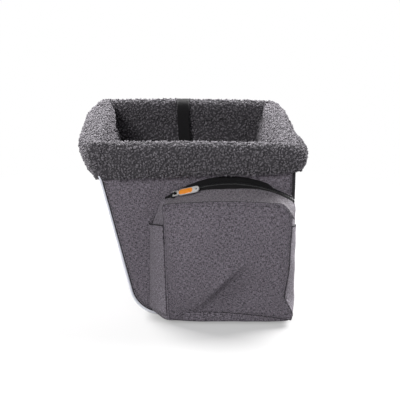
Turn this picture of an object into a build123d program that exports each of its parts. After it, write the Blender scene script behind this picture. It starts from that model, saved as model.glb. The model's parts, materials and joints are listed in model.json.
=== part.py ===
# A dog basket for a bicycle's handlebar: a boarded fabric tub with a slanted front, a fleece liner
# that folds over a wired rim, a zipped cargo pocket on each side, straps at the back and a tether.
#
# Frame: millimetres, +Z up, origin on the floor below the middle of the basket. The slanted front
# faces -Y, the back that hangs on the handlebar faces +Y. Left is the rider's left, +X.
from math import acos, asin, atan2, ceil, cos, degrees, pi, radians, sin, sqrt, tan
import os

from build123d import *

os.makedirs("parts", exist_ok=True)

# Basket as a whole
width_across = 406
rim_length = 305
rim_height = 254
slant_run = 68
front_corner_radius = 50

# Layers of a wall, from the outside in
shell_thickness = 1.6
board_thickness = 3
lining_thickness = 8
layer_gap = 0.3
overrun = 20
rod_sides = 8
turn_step = radians(18)

# Piping along the side panels, and the corded seams of the back corners
piping_diameter = 4
piping_proud = 1.5

# Rim: a steel wire in a hem, which the liner's cuff folds over
wire_diameter = 4
wire_corner_cut = 4
wire_end_gap = 2
hem_thickness = 1.6
hem_opening = 30
hem_corner_gap = 12
ferrule_diameter = 6.4
ferrule_length = 24
ferrule_clearance = 0.1
cuff_thickness = 15
cuff_drop = 30
cuff_inner_drop = 9
cuff_end_chamfer = 4
lining_drop = 14

# Floor pad
pad_height = 16
pad_crown = 8
pad_long_crown = 15
pad_draw_in = 5
pad_seam_margin = 2

# Cargo pocket on the side panel
pocket_depth = 46
pocket_sheet = 1.6
pocket_bottom_z = 7
pocket_base_front_y = -63
pocket_base_back_y = 148
pocket_bulge_back_y = 151
pocket_face_front_y = -42
pocket_face_back_y = 142
pocket_shoulder_base_y = -50
pocket_shoulder_face_y = -40
pocket_shoulder_base_drop = 112
pocket_shoulder_face_drop = 94
pocket_arch_radius = 148
pocket_arch_drop = 36
pocket_face_top_radius = 900
pocket_face_drop = 64.5
pocket_strip_front_y = -31
pocket_strip_back_y = 138
pocket_strip_drop = 89
pocket_arch_steps = 8

# Zip across the pocket's top
zip_centre_y = 56
zip_radius = 190
zip_drop = 44.5
zip_offset = 11
zip_slope = radians(30)
zip_band = 6
zip_end_y = 94
tape_edge_drop = 51.2
tape_edge_front_y = 14
tape_edge_back_y = 98
tape_end_front_y = -40
tape_end_back_y = 149
tape_end_front_drop = 76
tape_end_back_drop = 73
tape_reach = 26
coil_width = 5
coil_height = 2.2

# Zip slider and its pull
slider_length = 12
slider_width = 9.4
slider_plate = 1.2
slider_clearance = 0.4
slider_flange = 1
slider_divider_width = 1.8
slider_divider_length = 2.2
slider_rest_back = 11
bridge_width = 2.4
bridge_length = 9
bridge_gap = 2.4
bridge_thickness = 1.2
pull_bar_diameter = 1.6
pull_arm_width = 1.6
pull_skew = radians(18)
pull_arm_length = 8.4
pull_tab_length = 34
pull_tab_width = 11.5
pull_thickness = 1.8
pull_hole_diameter = 3.4

# Slip pockets on the gusset's two sides
slip_thickness = 1.4
slip_bottom_z = 14
slip_mouth_drop = 111
slip_margin = 3.5

# Straps of webbing with side-release buckles on the back
strap_width = 25
web_thickness = 1.4
bar_strap_x = 80
bar_strap_drop = 84
bar_strap_top_run = 66
bar_strap_foot_run = 66
stem_strap_z = 44
stem_strap_reach = 92
buckle_width = 33
buckle_depth = 9.6
buckle_chamfer = 2.2
socket_length = 30
socket_wall = 1.6
plug_length = 17
plug_arm_width = 5
plug_blade_width = 3
plug_clearance = 0.35
strap_bar_diameter = 3
strap_bar_inset = 3
strap_slot_height = 4.2
window_length = 11
web_ramp = 5
web_tail = 9
web_bend = 2
web_turn = 5
turn_share = 0.97

# Tether: webbing over the rim on the right, with a swivelling bolt snap
tether_y = -5
tether_width = 21
tether_end_drop = 11
tether_bar_z = 128
eye_bar_diameter = 4
eye_height = 15
eye_rod = 4
swivel_seat = 5
swivel_clearance = 0.1
swivel_diameter = 4.8
swivel_head_diameter = 7.6
swivel_head_height = 2
snap_rod = 5
snap_bow_radius = 7
snap_bow_steps = 6
snap_barrel_diameter = 9
snap_barrel_length = 22
snap_collar_height = 5
snap_mouth = 9
bolt_diameter = 4.4
bolt_clearance = 0.15
bolt_bore_length = 20
bolt_guided = 7
bolt_seat = 0.3
bolt_travel = 8
bolt_knob_diameter = 3
bolt_knob_reach = 3
knob_height = 3.5
spring_wire = 0.6
spring_turns = 5
spring_turn_steps = 6
spring_sides = 5

# Places worked out from the sizes above
half_width = width_across / 2
back_y = rim_length / 2
slant = atan2(slant_run, rim_height)
side_x = half_width - piping_proud
board_inset = shell_thickness + layer_gap
lining_inset = board_inset + board_thickness + layer_gap
room_inset = lining_inset + lining_thickness
edge_inset = piping_diameter + layer_gap
stack_half = (board_inset + board_thickness) / 2
hem_inner = wire_diameter / 2 + layer_gap
hem_outer = hem_inner + hem_thickness
hem_leg = ferrule_diameter / 2
wire_z = rim_height - hem_outer
wall_top = wire_z - hem_leg - layer_gap
ring_x = side_x - stack_half
ring_back_y = back_y - stack_half
cuff_inner = hem_outer + layer_gap
cuff_outer = cuff_inner + cuff_thickness
lining_top = rim_height - lining_drop
bar_strap_z = rim_height - bar_strap_drop
zip_top_z = rim_height - zip_drop


def front_y(z, inset=0):
    """Y of the front wall at a height, an inset inside its outside face."""
    return -back_y + slant_run * (rim_height - z) / rim_height + inset / cos(slant)


ring_front_y = front_y(wire_z, stack_half)
corner_end_y = front_y(0) + front_corner_radius / tan((pi / 2 + slant) / 2) + pad_seam_margin
inner_half = side_x - room_inset - layer_gap
board_half = side_x - board_inset - board_thickness - layer_gap


def arc_points(centre_x, centre_y, radius, start, end):
    """Points of an arc at even angles, no further apart than one turn step."""
    count = ceil(abs(end - start) / turn_step)
    return [
        (
            centre_x + radius * cos(start + (end - start) * step / count),
            centre_y + radius * sin(start + (end - start) * step / count),
        )
        for step in range(count + 1)
    ]


def save(part, node):
    """Labels a finished piece and writes it."""
    part.label = node
    export_step(part, f"parts/{node}.step")


def save_pair(part, node):
    """Writes the piece of the left side, and its mirror image for the right side."""
    save(part, f"{node}_left")
    save(mirror(part, about=Plane.YZ), f"{node}_right")


def side_outline(inset, back_end, top):
    """Face of the basket's side outline, an inset inside the floor and the front."""
    with BuildSketch() as outline:
        with BuildLine():
            Polyline(
                (back_end, top),
                (back_end, inset),
                (front_y(inset, inset), inset),
                (front_y(top, inset), top),
                close=True,
            )
        make_face()
        corner = outline.vertices().group_by(Axis.Y)[0].sort_by(Axis.X)[0]
        fillet(corner, front_corner_radius - inset)
    return outline.sketch


def wrap_band(inset, thickness, back_end, top):
    """Section of a sheet that runs down the front, round the corner and along the floor."""
    with BuildSketch() as band:
        add(side_outline(inset, back_end, top))
        add(side_outline(inset + thickness, back_end + overrun, top + overrun), mode=Mode.SUBTRACT)
    return band.sketch


# Shell: side panels, the wrap of front and floor, and the back
with BuildPart() as shell_side:
    with BuildSketch(Plane.YZ.offset(side_x - shell_thickness)):
        add(side_outline(edge_inset, back_y - edge_inset, wall_top))
    extrude(amount=shell_thickness)
save_pair(shell_side.part, "shell_side")

with BuildPart() as shell_wrap:
    with BuildSketch(Plane.YZ):
        add(wrap_band(0, shell_thickness, back_y - board_inset, wall_top))
    extrude(amount=half_width - edge_inset, both=True)
save(shell_wrap.part, "shell_wrap")

with BuildPart() as shell_back:
    with BuildSketch(Plane.XZ.offset(-back_y)):
        with Locations((0, wall_top / 2)):
            Rectangle(2 * (half_width - edge_inset), wall_top)
    extrude(amount=shell_thickness)
save(shell_back.part, "shell_back")

# Piping: a cord that follows the side panel's front edge, the corner and the floor
piping_radius = piping_diameter / 2
with BuildPart() as piping:
    with BuildLine(Plane.YZ.offset(half_width - piping_radius)):
        piping_path = FilletPolyline(
            (front_y(wall_top, piping_radius), wall_top),
            (front_y(piping_radius, piping_radius), piping_radius),
            (back_y - edge_inset, piping_radius),
            radius=front_corner_radius - piping_radius,
        )
    with BuildSketch(Plane(origin=piping_path @ 0, x_dir=(1, 0, 0), z_dir=piping_path % 0)):
        RegularPolygon(piping_radius, rod_sides)
    sweep()
save_pair(piping.part, "piping")

with BuildPart() as back_cords:
    with BuildSketch():
        with Locations((half_width - piping_radius, back_y - piping_radius)):
            RegularPolygon(piping_radius, rod_sides)
    extrude(amount=wall_top)
    mirror(about=Plane.YZ)
save(back_cords.part, "back_corner_cords")

# Boards that stiffen the walls and the floor
with BuildPart() as board_side:
    with BuildSketch(Plane.YZ.offset(side_x - board_inset - board_thickness)):
        add(side_outline(edge_inset, back_y - edge_inset, wall_top))
    extrude(amount=board_thickness)
save_pair(board_side.part, "board_side")

with BuildPart() as board_front:
    with BuildSketch(Plane.YZ):
        add(wrap_band(board_inset, board_thickness, corner_end_y, wall_top))
    extrude(amount=board_half, both=True)
save(board_front.part, "board_front")

floor_board_front_y = corner_end_y + layer_gap
floor_board_back_y = back_y - board_inset
with BuildPart() as board_floor:
    with BuildSketch(Plane.XY.offset(board_inset)):
        with Locations((0, (floor_board_front_y + floor_board_back_y) / 2)):
            Rectangle(2 * board_half, floor_board_back_y - floor_board_front_y)
    extrude(amount=board_thickness)
save(board_floor.part, "board_floor")

with BuildPart() as board_back:
    with BuildSketch(Plane.XZ.offset(board_inset - back_y)):
        with Locations((0, (lining_inset + wall_top) / 2)):
            Rectangle(2 * board_half, wall_top - lining_inset)
    extrude(amount=board_thickness)
save(board_back.part, "board_back")

# Rim: the wire's two ends meet in a crimped ferrule at the middle of the back
wire_start = Plane(origin=(wire_end_gap / 2, ring_back_y, wire_z), x_dir=(0, 1, 0), z_dir=(1, 0, 0))
with BuildPart() as rim_wire:
    with BuildLine(Plane.XY.offset(wire_z)):
        Polyline(
            (wire_end_gap / 2, ring_back_y),
            (ring_x - wire_corner_cut, ring_back_y),
            (ring_x, ring_back_y - wire_corner_cut),
            (ring_x, ring_front_y + wire_corner_cut),
            (ring_x - wire_corner_cut, ring_front_y),
            (0, ring_front_y),
        )
    with BuildSketch(wire_start):
        RegularPolygon(wire_diameter / 2, rod_sides)
    sweep(transition=Transition.RIGHT)
    mirror(about=Plane.YZ)
save(rim_wire.part, "rim_wire")

with BuildPart() as ferrule:
    with BuildSketch(Plane.YZ):
        with Locations((ring_back_y, wire_z)):
            RegularPolygon(ferrule_diameter / 2, 2 * rod_sides)
            RegularPolygon(
                wire_diameter / 2 + ferrule_clearance, 2 * rod_sides, mode=Mode.SUBTRACT
            )
    extrude(amount=ferrule_length / 2, both=True)
save(ferrule.part, "wire_ferrule")

with BuildSketch() as hem_section:
    RegularPolygon(hem_outer, 2 * rod_sides)
    Rectangle(2 * hem_outer, 2 * hem_leg, align=(Align.CENTER, Align.MAX))
    RegularPolygon(hem_inner, 2 * rod_sides, mode=Mode.SUBTRACT)
    Rectangle(2 * hem_inner, overrun, align=(Align.CENTER, Align.MAX), mode=Mode.SUBTRACT)

# The hem is a sleeve along each wall, and leaves the wire bare at the corners and at the ferrule
with BuildPart() as rim_hem:
    for start, x_dir, z_dir, length in (
        (
            (ring_x, ring_front_y + hem_corner_gap, wire_z),
            (-1, 0, 0),
            (0, 1, 0),
            ring_back_y - ring_front_y - 2 * hem_corner_gap,
        ),
        (
            (0, ring_front_y, wire_z),
            (0, cos(slant), sin(slant)),
            (1, 0, 0),
            ring_x - hem_corner_gap,
        ),
        (
            (hem_opening / 2, ring_back_y, wire_z),
            (0, 1, 0),
            (1, 0, 0),
            ring_x - hem_corner_gap - hem_opening / 2,
        ),
    ):
        with BuildSketch(Plane(origin=start, x_dir=x_dir, z_dir=z_dir)):
            add(hem_section.sketch)
        extrude(amount=length)
    mirror(about=Plane.YZ)
    split(bisect_by=Plane.XY.offset(wall_top + layer_gap), keep=Keep.TOP)
save(rim_hem.part, "rim_hem")

# Fleece liner: lining of the four walls, then the crowned floor pad
with BuildPart() as lining_side:
    with BuildSketch(Plane.YZ.offset(side_x - room_inset)):
        add(side_outline(lining_inset, back_y - lining_inset, lining_top))
    extrude(amount=lining_thickness)
save_pair(lining_side.part, "lining_side")

with BuildPart() as lining_front:
    with BuildSketch(Plane.YZ):
        add(wrap_band(lining_inset, lining_thickness, corner_end_y, lining_top))
    extrude(amount=inner_half, both=True)
save(lining_front.part, "lining_front")

with BuildPart() as lining_back:
    with BuildSketch(Plane.XZ.offset(lining_inset - back_y)):
        with Locations((0, (lining_inset + lining_top) / 2)):
            Rectangle(2 * inner_half, lining_top - lining_inset)
    extrude(amount=lining_thickness)
save(lining_back.part, "lining_back")

pad_front_y = corner_end_y + layer_gap
pad_back_y = back_y - room_inset - layer_gap


def pad_section(low, high, crown, foot):
    """Outline of the pad across one direction: drawn-in ends, a crowned top and a straight foot."""
    middle = (low + high) / 2
    base_z = lining_inset
    with BuildSketch() as section:
        with BuildLine():
            Polyline(
                (low + pad_draw_in, base_z),
                (low + pad_draw_in, base_z - foot),
                (high - pad_draw_in, base_z - foot),
                (high - pad_draw_in, base_z),
            )
            ThreePointArc(
                (high - pad_draw_in, base_z),
                (high, base_z + pad_height / 2),
                (high - pad_draw_in, base_z + pad_height),
            )
            ThreePointArc(
                (high - pad_draw_in, base_z + pad_height),
                (middle, base_z + pad_height + crown),
                (low + pad_draw_in, base_z + pad_height),
            )
            ThreePointArc(
                (low + pad_draw_in, base_z + pad_height),
                (low, base_z + pad_height / 2),
                (low + pad_draw_in, base_z),
            )
        make_face()
    return section.sketch


with BuildPart() as floor_pad:
    with BuildSketch(Plane.YZ):
        add(pad_section(pad_front_y, pad_back_y, pad_crown, overrun))
    extrude(amount=inner_half, both=True)
    with BuildSketch(Plane.XZ):
        add(pad_section(-inner_half, inner_half, pad_long_crown, overrun))
    extrude(amount=rim_length, both=True, mode=Mode.INTERSECT)
    split(bisect_by=Plane.XY.offset(lining_inset), keep=Keep.TOP)
save(floor_pad.part, "floor_pad")

# Cuff: the liner rolls over the hem and hangs outside, mitred at the four corners
with BuildSketch() as cuff_section:
    with BuildLine():
        Polyline(
            (cuff_inner, -cuff_drop),
            (cuff_outer, -cuff_drop),
            *arc_points(0, 0, cuff_outer, 0, pi),
            (-cuff_outer, -cuff_inner_drop),
            (-cuff_inner, -cuff_inner_drop),
            *arc_points(0, 0, cuff_inner, pi, 0),
            close=True,
        )
    make_face()
    chamfer(cuff_section.vertices().group_by(Axis.Y)[0], cuff_end_chamfer)
    chamfer(cuff_section.vertices().group_by(Axis.X)[0].sort_by(Axis.Y)[0], cuff_end_chamfer)

front_mitre = Plane(
    origin=(ring_x, ring_front_y, wire_z), z_dir=(rim_height / cos(slant), rim_height, slant_run)
)
front_mitre_mirrored = Plane(
    origin=(-ring_x, ring_front_y, wire_z), z_dir=(-rim_height / cos(slant), rim_height, slant_run)
)
back_mitre = Plane(origin=(ring_x, ring_back_y, wire_z), z_dir=(1, -1, 0))
back_mitre_mirrored = Plane(origin=(-ring_x, ring_back_y, wire_z), z_dir=(-1, -1, 0))

with BuildPart() as cuff_side:
    with BuildSketch(Plane(origin=(ring_x, 0, wire_z), x_dir=(1, 0, 0), z_dir=(0, -1, 0))):
        add(cuff_section.sketch)
    extrude(amount=rim_length, both=True)
    split(bisect_by=front_mitre, keep=Keep.TOP)
    split(bisect_by=back_mitre, keep=Keep.TOP)
save_pair(cuff_side.part, "cuff_side")

with BuildPart() as cuff_front:
    with BuildSketch(
        Plane(
            origin=(0, ring_front_y, wire_z), x_dir=(0, -cos(slant), -sin(slant)), z_dir=(-1, 0, 0)
        )
    ):
        add(cuff_section.sketch)
    extrude(amount=width_across, both=True)
    split(bisect_by=front_mitre, keep=Keep.BOTTOM)
    split(bisect_by=front_mitre_mirrored, keep=Keep.BOTTOM)
save(cuff_front.part, "cuff_front")

with BuildPart() as cuff_back:
    with BuildSketch(Plane(origin=(0, ring_back_y, wire_z), x_dir=(0, 1, 0), z_dir=(1, 0, 0))):
        add(cuff_section.sketch)
    extrude(amount=width_across, both=True)
    split(bisect_by=back_mitre, keep=Keep.BOTTOM)
    split(bisect_by=back_mitre_mirrored, keep=Keep.BOTTOM)
save(cuff_back.part, "cuff_back")

# Cargo pocket: sections parallel to the side panel, from the panel out to the face
zip_x = side_x + zip_offset
zip_centre_z = zip_top_z - zip_radius
pocket_face_x = side_x + pocket_depth


def arc_height(y, radius, top_z):
    """Height of an arch that peaks above the zip's centre, at a place along the pocket."""
    return top_z - radius + sqrt(radius**2 - (y - zip_centre_y) ** 2)


def between(x, at_panel, at_face):
    """Size that changes evenly from the side panel to the pocket's face."""
    return at_panel + (at_face - at_panel) * (x - side_x) / pocket_depth


def pocket_outline(x, radius, top_z, back_edge, inset):
    """Face of the pocket's outline at a distance from the panel, drawn an inset inside."""
    front = between(x, pocket_base_front_y, pocket_face_front_y) + inset
    back = back_edge - inset
    shoulder_drop = between(x, pocket_shoulder_base_drop, pocket_shoulder_face_drop)
    shoulder_z = rim_height - shoulder_drop
    shoulder_y = between(x, pocket_shoulder_base_y, pocket_shoulder_face_y) + inset
    bottom = pocket_bottom_z + inset
    arch_radius = radius - inset
    arch_top = top_z - inset
    arch = []
    for step in range(pocket_arch_steps + 1):
        y = back + (shoulder_y - back) * step / pocket_arch_steps
        arch.append((y, arc_height(y, arch_radius, arch_top)))
    with BuildSketch(Plane.YZ.offset(x)) as outline:
        with BuildLine():
            Polyline(*arch, (front, shoulder_z), (front, bottom), (back, bottom), close=True)
        make_face()
    return outline.sketch


def pocket_block(inset, face_x):
    """Solid of the pocket, ruled between its sections, an inset inside its outside."""
    rise = zip_band * tan(zip_slope)
    sections = (
        (side_x, pocket_arch_radius, rim_height - pocket_arch_drop, pocket_base_back_y),
        (zip_x - zip_band, zip_radius + rise, zip_top_z + rise, pocket_bulge_back_y),
        (zip_x + zip_band, zip_radius - rise, zip_top_z - rise, pocket_bulge_back_y),
        (face_x, pocket_face_top_radius, rim_height - pocket_face_drop, pocket_face_back_y),
    )
    with BuildPart() as block:
        for x, radius, top_z, back_edge in sections:
            add(pocket_outline(x, radius, top_z, back_edge, inset))
        loft(ruled=True)
    return block.part


pocket_outer = pocket_block(0, pocket_face_x)
pocket_room = pocket_block(pocket_sheet, pocket_face_x - pocket_sheet)
pocket_reach = 2 * pocket_depth

with BuildPart() as tape_region:
    with BuildSketch(Plane.YZ.offset(side_x - overrun)):
        with BuildLine():
            Polyline(
                (tape_end_front_y, rim_height - tape_end_front_drop),
                (tape_edge_front_y, rim_height - tape_edge_drop),
                (tape_edge_back_y, rim_height - tape_edge_drop),
                (tape_end_back_y, rim_height - tape_end_back_drop),
                (tape_end_back_y, rim_height),
                (tape_end_front_y, rim_height),
                close=True,
            )
        make_face()
    extrude(amount=overrun + tape_reach)

with BuildPart() as strip_region:
    with BuildSketch(Plane.YZ.offset(side_x - overrun)):
        with Locations((pocket_strip_front_y, rim_height)):
            Rectangle(
                pocket_strip_back_y - pocket_strip_front_y,
                pocket_strip_drop,
                align=(Align.MIN, Align.MAX),
            )
    extrude(amount=pocket_reach)

with BuildPart() as face_region:
    with BuildSketch(Plane.YZ.offset(pocket_face_x - pocket_sheet)):
        Rectangle(2 * rim_length, 2 * rim_height)
    extrude(amount=pocket_reach)

with BuildPart() as pocket_face:
    add(pocket_outer)
    add(face_region.part, mode=Mode.INTERSECT)
save_pair(pocket_face.part, "pocket_face")

with BuildPart() as pocket_gusset:
    add(pocket_outer)
    add(pocket_room, mode=Mode.SUBTRACT)
    add(face_region.part, mode=Mode.SUBTRACT)
    add(tape_region.part, mode=Mode.SUBTRACT)
    add(strip_region.part, mode=Mode.SUBTRACT)
save_pair(pocket_gusset.part, "pocket_gusset")

with BuildPart() as pocket_strip:
    add(pocket_outer)
    add(pocket_room, mode=Mode.SUBTRACT)
    add(face_region.part, mode=Mode.SUBTRACT)
    add(strip_region.part, mode=Mode.INTERSECT)
    add(tape_region.part, mode=Mode.SUBTRACT)
save_pair(pocket_strip.part, "pocket_top_strip")

# Slip pockets lie on the gusset's front and back sides
slip_outer = pocket_block(-layer_gap - slip_thickness, pocket_face_x)
slip_room = pocket_block(-layer_gap, pocket_face_x)
for place, low_y, high_y in (
    ("front", pocket_base_front_y - overrun, pocket_shoulder_face_y),
    ("back", pocket_face_back_y, pocket_base_back_y + overrun),
):
    with BuildPart() as slip_pocket:
        add(slip_outer)
        add(slip_room, mode=Mode.SUBTRACT)
        with BuildSketch(Plane.YZ.offset(side_x + slip_margin)):
            with Locations((low_y, slip_bottom_z)):
                Rectangle(
                    high_y - low_y,
                    rim_height - slip_mouth_drop - slip_bottom_z,
                    align=(Align.MIN, Align.MIN),
                )
        extrude(amount=pocket_depth - 2 * slip_margin, mode=Mode.INTERSECT)
    save_pair(slip_pocket.part, f"slip_pocket_{place}")


# Zip: everything on it turns about one axis, parallel to X, at the centre of its arc
zip_axis = Axis((0, zip_centre_y, zip_centre_z), (1, 0, 0))


def zip_plane(angle):
    """Plane on the tape at an angle from the arc's top: x along the zip, z out of the tape."""
    return Plane(
        origin=(zip_x, zip_centre_y - zip_radius * sin(angle), zip_centre_z + zip_radius * cos(angle)),
        x_dir=(0, cos(angle), sin(angle)),
        z_dir=(sin(zip_slope), -cos(zip_slope) * sin(angle), cos(zip_slope) * cos(angle)),
    )


zip_end = asin(zip_end_y / zip_radius)
slider_angle = zip_end - slider_rest_back / zip_radius
slider = zip_plane(slider_angle)
coil_start = slider_angle + (slider_length / 2 - slider_divider_length - layer_gap) / zip_radius
coil_plane = zip_plane(coil_start)
coil_top = layer_gap + coil_height

with BuildPart() as zip_coil:
    with BuildSketch(Plane(origin=coil_plane.origin, x_dir=coil_plane.y_dir, z_dir=-coil_plane.x_dir)):
        with Locations((0, -layer_gap)):
            Rectangle(coil_width, coil_height, align=(Align.CENTER, Align.MAX))
    revolve(axis=zip_axis, revolution_arc=-degrees(coil_start + zip_end))
save_pair(zip_coil.part, "zip_coil")

with BuildPart() as zip_tape:
    add(pocket_outer)
    add(pocket_room, mode=Mode.SUBTRACT)
    add(face_region.part, mode=Mode.SUBTRACT)
    add(tape_region.part, mode=Mode.INTERSECT)
    with BuildSketch(slider.offset(-slider_length)):
        with Locations((slider_divider_length - slider_length / 2 + layer_gap, 0)):
            Rectangle(
                slider_length,
                slider_divider_width + 2 * layer_gap,
                align=(Align.MAX, Align.CENTER),
            )
    extrude(amount=2 * slider_length, mode=Mode.SUBTRACT)
save_pair(zip_tape.part, "zip_tape")

plate_z = coil_top + slider_clearance
under_z = -pocket_sheet - slider_clearance - slider_plate
bridge_z = plate_z + slider_plate

with BuildPart() as zip_slider:
    for height in (under_z, plate_z):
        with BuildSketch(slider.offset(height)) as plate:
            Rectangle(slider_length, slider_width)
            chamfer(plate.vertices(), slider_width / 4)
        extrude(amount=slider_plate)
    with BuildSketch(slider.offset(2 * slider_clearance)):
        for side in (-1, 1):
            with Locations((0, side * (slider_width - slider_flange) / 2)):
                Rectangle(slider_length / 2, slider_flange)
    extrude(amount=plate_z - 2 * slider_clearance)
    with BuildSketch(slider.offset(under_z + slider_plate)):
        with Locations(((slider_divider_length - slider_length) / 2, 0)):
            Rectangle(slider_divider_length, slider_divider_width)
    extrude(amount=plate_z - under_z - slider_plate)
    with BuildSketch(Plane(origin=slider.origin, x_dir=slider.x_dir, z_dir=-slider.y_dir)):
        with Locations((0, bridge_z)):
            Rectangle(bridge_length, bridge_gap + bridge_thickness, align=(Align.CENTER, Align.MIN))
            Rectangle(
                bridge_length - 2 * bridge_thickness,
                bridge_gap,
                align=(Align.CENTER, Align.MIN),
                mode=Mode.SUBTRACT,
            )
    extrude(amount=bridge_width / 2, both=True)
save_pair(zip_slider.part, "zip_slider")

# Pull: its bar turns under the slider's bridge, and its tab lies askew along the zip
pull_z = bridge_z + bridge_gap / 2
arm_inner = bridge_width / 2 + slider_clearance + bridge_length / 2 * sin(pull_skew)
arm_outer = arm_inner + pull_arm_width
pull_plane = Plane(slider.location * Location((0, 0, pull_z), (0, 0, -degrees(pull_skew))))
with BuildPart() as zip_pull:
    with BuildSketch(Plane(origin=pull_plane.origin, x_dir=pull_plane.x_dir, z_dir=-pull_plane.y_dir)):
        RegularPolygon(pull_bar_diameter / 2, rod_sides)
    extrude(amount=arm_outer, both=True)
    with BuildSketch(pull_plane.offset(-pull_thickness / 2)):
        with Locations((-pull_bar_diameter / 2, 0)):
            Rectangle(pull_arm_length, 2 * arm_outer, align=(Align.MIN, Align.CENTER))
            Rectangle(
                pull_arm_length - pull_arm_width,
                2 * arm_inner,
                align=(Align.MIN, Align.CENTER),
                mode=Mode.SUBTRACT,
            )
        with Locations((pull_arm_length - pull_bar_diameter / 2 - layer_gap + pull_tab_length / 2, 0)):
            SlotOverall(pull_tab_length, pull_tab_width)
        with Locations((pull_arm_length + pull_tab_length - pull_tab_width / 2, 0)):
            Circle(pull_hole_diameter / 2, mode=Mode.SUBTRACT)
    extrude(amount=pull_thickness)
save_pair(zip_pull.part, "zip_pull")


# Webbing is drawn as a strip of even thickness along a bent line, then made as wide as the strap
def beside(points, distance):
    """Points of a bent line moved sideways to its left by a distance."""
    moved = []
    for index, point in enumerate(points):
        here = Vector(*point)
        before = Vector(*points[max(index - 1, 0)])
        after = Vector(*points[min(index + 1, len(points) - 1)])
        into = (here - before).normalized() if index > 0 else (after - here).normalized()
        out = (after - here).normalized() if index < len(points) - 1 else into
        left_in = Vector(-into.Y, into.X)
        left_out = Vector(-out.Y, out.X)
        middle = (left_in + left_out).normalized()
        moved.append(here + middle * (distance / middle.dot(left_in)))
    return [(point.X, point.Y) for point in moved]


def turn_radius(points, index, radius, distance):
    """Radius of a bend for a line moved to its left: less on a left turn, more on a right one."""
    into = Vector(*points[index]) - Vector(*points[index - 1])
    out = Vector(*points[index + 1]) - Vector(*points[index])
    left_turn = into.X * out.Y - into.Y * out.X > 0
    return radius - distance if left_turn else radius + distance


def bent(points, radii):
    """Points of a bent line with each bend drawn as an arc of its own radius."""
    line = [points[0]]
    for index, radius in enumerate(radii):
        here = Vector(*points[index + 1])
        into = (here - Vector(*points[index])).normalized()
        out = (Vector(*points[index + 2]) - here).normalized()
        turn = acos(into.dot(out))
        side = 1 if into.X * out.Y - into.Y * out.X > 0 else -1
        start = here - into * (radius * tan(turn / 2))
        centre = start + Vector(-into.Y, into.X) * (radius * side)
        first = atan2(start.Y - centre.Y, start.X - centre.X)
        line.extend(arc_points(centre.X, centre.Y, radius, first, first + side * turn))
    return line + [points[-1]]


def web_strip(points, radii):
    """Face of a web seen from its edge, along a bent line with a radius for each bend."""
    sides = []
    for distance in (web_thickness / 2, -web_thickness / 2):
        bends = [
            turn_radius(points, index + 1, radius, distance) for index, radius in enumerate(radii)
        ]
        sides.append(bent(beside(points, distance), bends))
    with BuildSketch() as strip:
        with BuildLine():
            Polyline(*sides[0], *reversed(sides[1]), close=True)
        make_face()
    return strip.sketch


# Side-release buckle on the back panel. Its plane has x across the strap, y along it towards the
# socket's end and z out of the panel. The socket and the plug meet at y = 0.
buckle_base = layer_gap
bar_out = buckle_base + buckle_depth / 2
ear_length = strap_bar_inset + strap_bar_diameter / 2 + strap_slot_height
cavity_half = buckle_width / 2 - socket_wall
cavity_length = socket_length - ear_length - socket_wall
cavity_height = buckle_depth - 2 * socket_wall
arm_reach = cavity_half - plug_clearance
arm_height = cavity_height - 2 * plug_clearance
arm_length = cavity_length - 2 * plug_clearance
socket_bar_y = socket_length - strap_bar_inset
plug_bar_y = strap_bar_inset - plug_length


def buckle_block(plane, low, high, direction):
    """Bevelled block of a buckle half, with two ears and a round bar at the end its web is on."""
    end = high if direction > 0 else low
    with BuildPart() as block:
        with BuildSketch(plane.offset(buckle_base)) as outline:
            with Locations((0, (low + high) / 2)):
                Rectangle(buckle_width, high - low)
            chamfer(outline.vertices(), buckle_chamfer)
        extrude(amount=buckle_depth)
        chamfer(block.faces().sort_by(Axis.Y)[-1].edges(), buckle_chamfer / 2)
        with BuildSketch(plane):
            with Locations((0, end)):
                Rectangle(strap_width + 2 * layer_gap, 2 * ear_length)
        extrude(amount=buckle_depth + overrun, mode=Mode.SUBTRACT)
        bar_plane = Plane(
            origin=plane.from_local_coords((0, end - direction * strap_bar_inset, bar_out)),
            z_dir=plane.x_dir,
        )
        with BuildSketch(bar_plane):
            Circle(strap_bar_diameter / 2)
        extrude(amount=strap_width / 2 + 2 * layer_gap, both=True)
    return block.part


def buckle_socket(plane):
    """Female half: an open-ended housing with side windows and a bar for its web."""
    with BuildPart() as socket:
        add(buckle_block(plane, 0, socket_length, 1))
        with BuildSketch(plane.offset(buckle_base + socket_wall)):
            Rectangle(2 * cavity_half, 2 * cavity_length)
        extrude(amount=cavity_height, mode=Mode.SUBTRACT)
        with BuildSketch(plane.offset(buckle_base + 2 * socket_wall)):
            with Locations((0, cavity_length - window_length / 2)):
                Rectangle(buckle_width + overrun, window_length)
        extrude(amount=buckle_depth - 4 * socket_wall, mode=Mode.SUBTRACT)
    return socket.part


def buckle_plug(plane):
    """Male half: a base with a bar for its web, two barbed arms and a middle blade."""
    barb = cavity_length - window_length + plug_clearance
    with BuildPart() as plug:
        add(buckle_block(plane, -plug_length, -layer_gap, -1))
        with BuildSketch(plane.offset(buckle_base + socket_wall + plug_clearance)):
            for side in (-1, 1):
                with BuildLine():
                    Polyline(
                        (side * (arm_reach - plug_arm_width), -layer_gap),
                        (side * (arm_reach - plug_arm_width / 3), -layer_gap),
                        (side * (arm_reach - plug_arm_width / 3), barb),
                        (side * arm_reach, barb),
                        (side * arm_reach, barb + plug_arm_width),
                        (side * (arm_reach - plug_arm_width / 3), arm_length),
                        (side * (arm_reach - plug_arm_width), arm_length),
                        close=True,
                    )
                make_face()
            with Locations((0, arm_length / 2 - layer_gap)):
                Rectangle(plug_blade_width, arm_length)
        extrude(amount=arm_height)
    return plug.part


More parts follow.
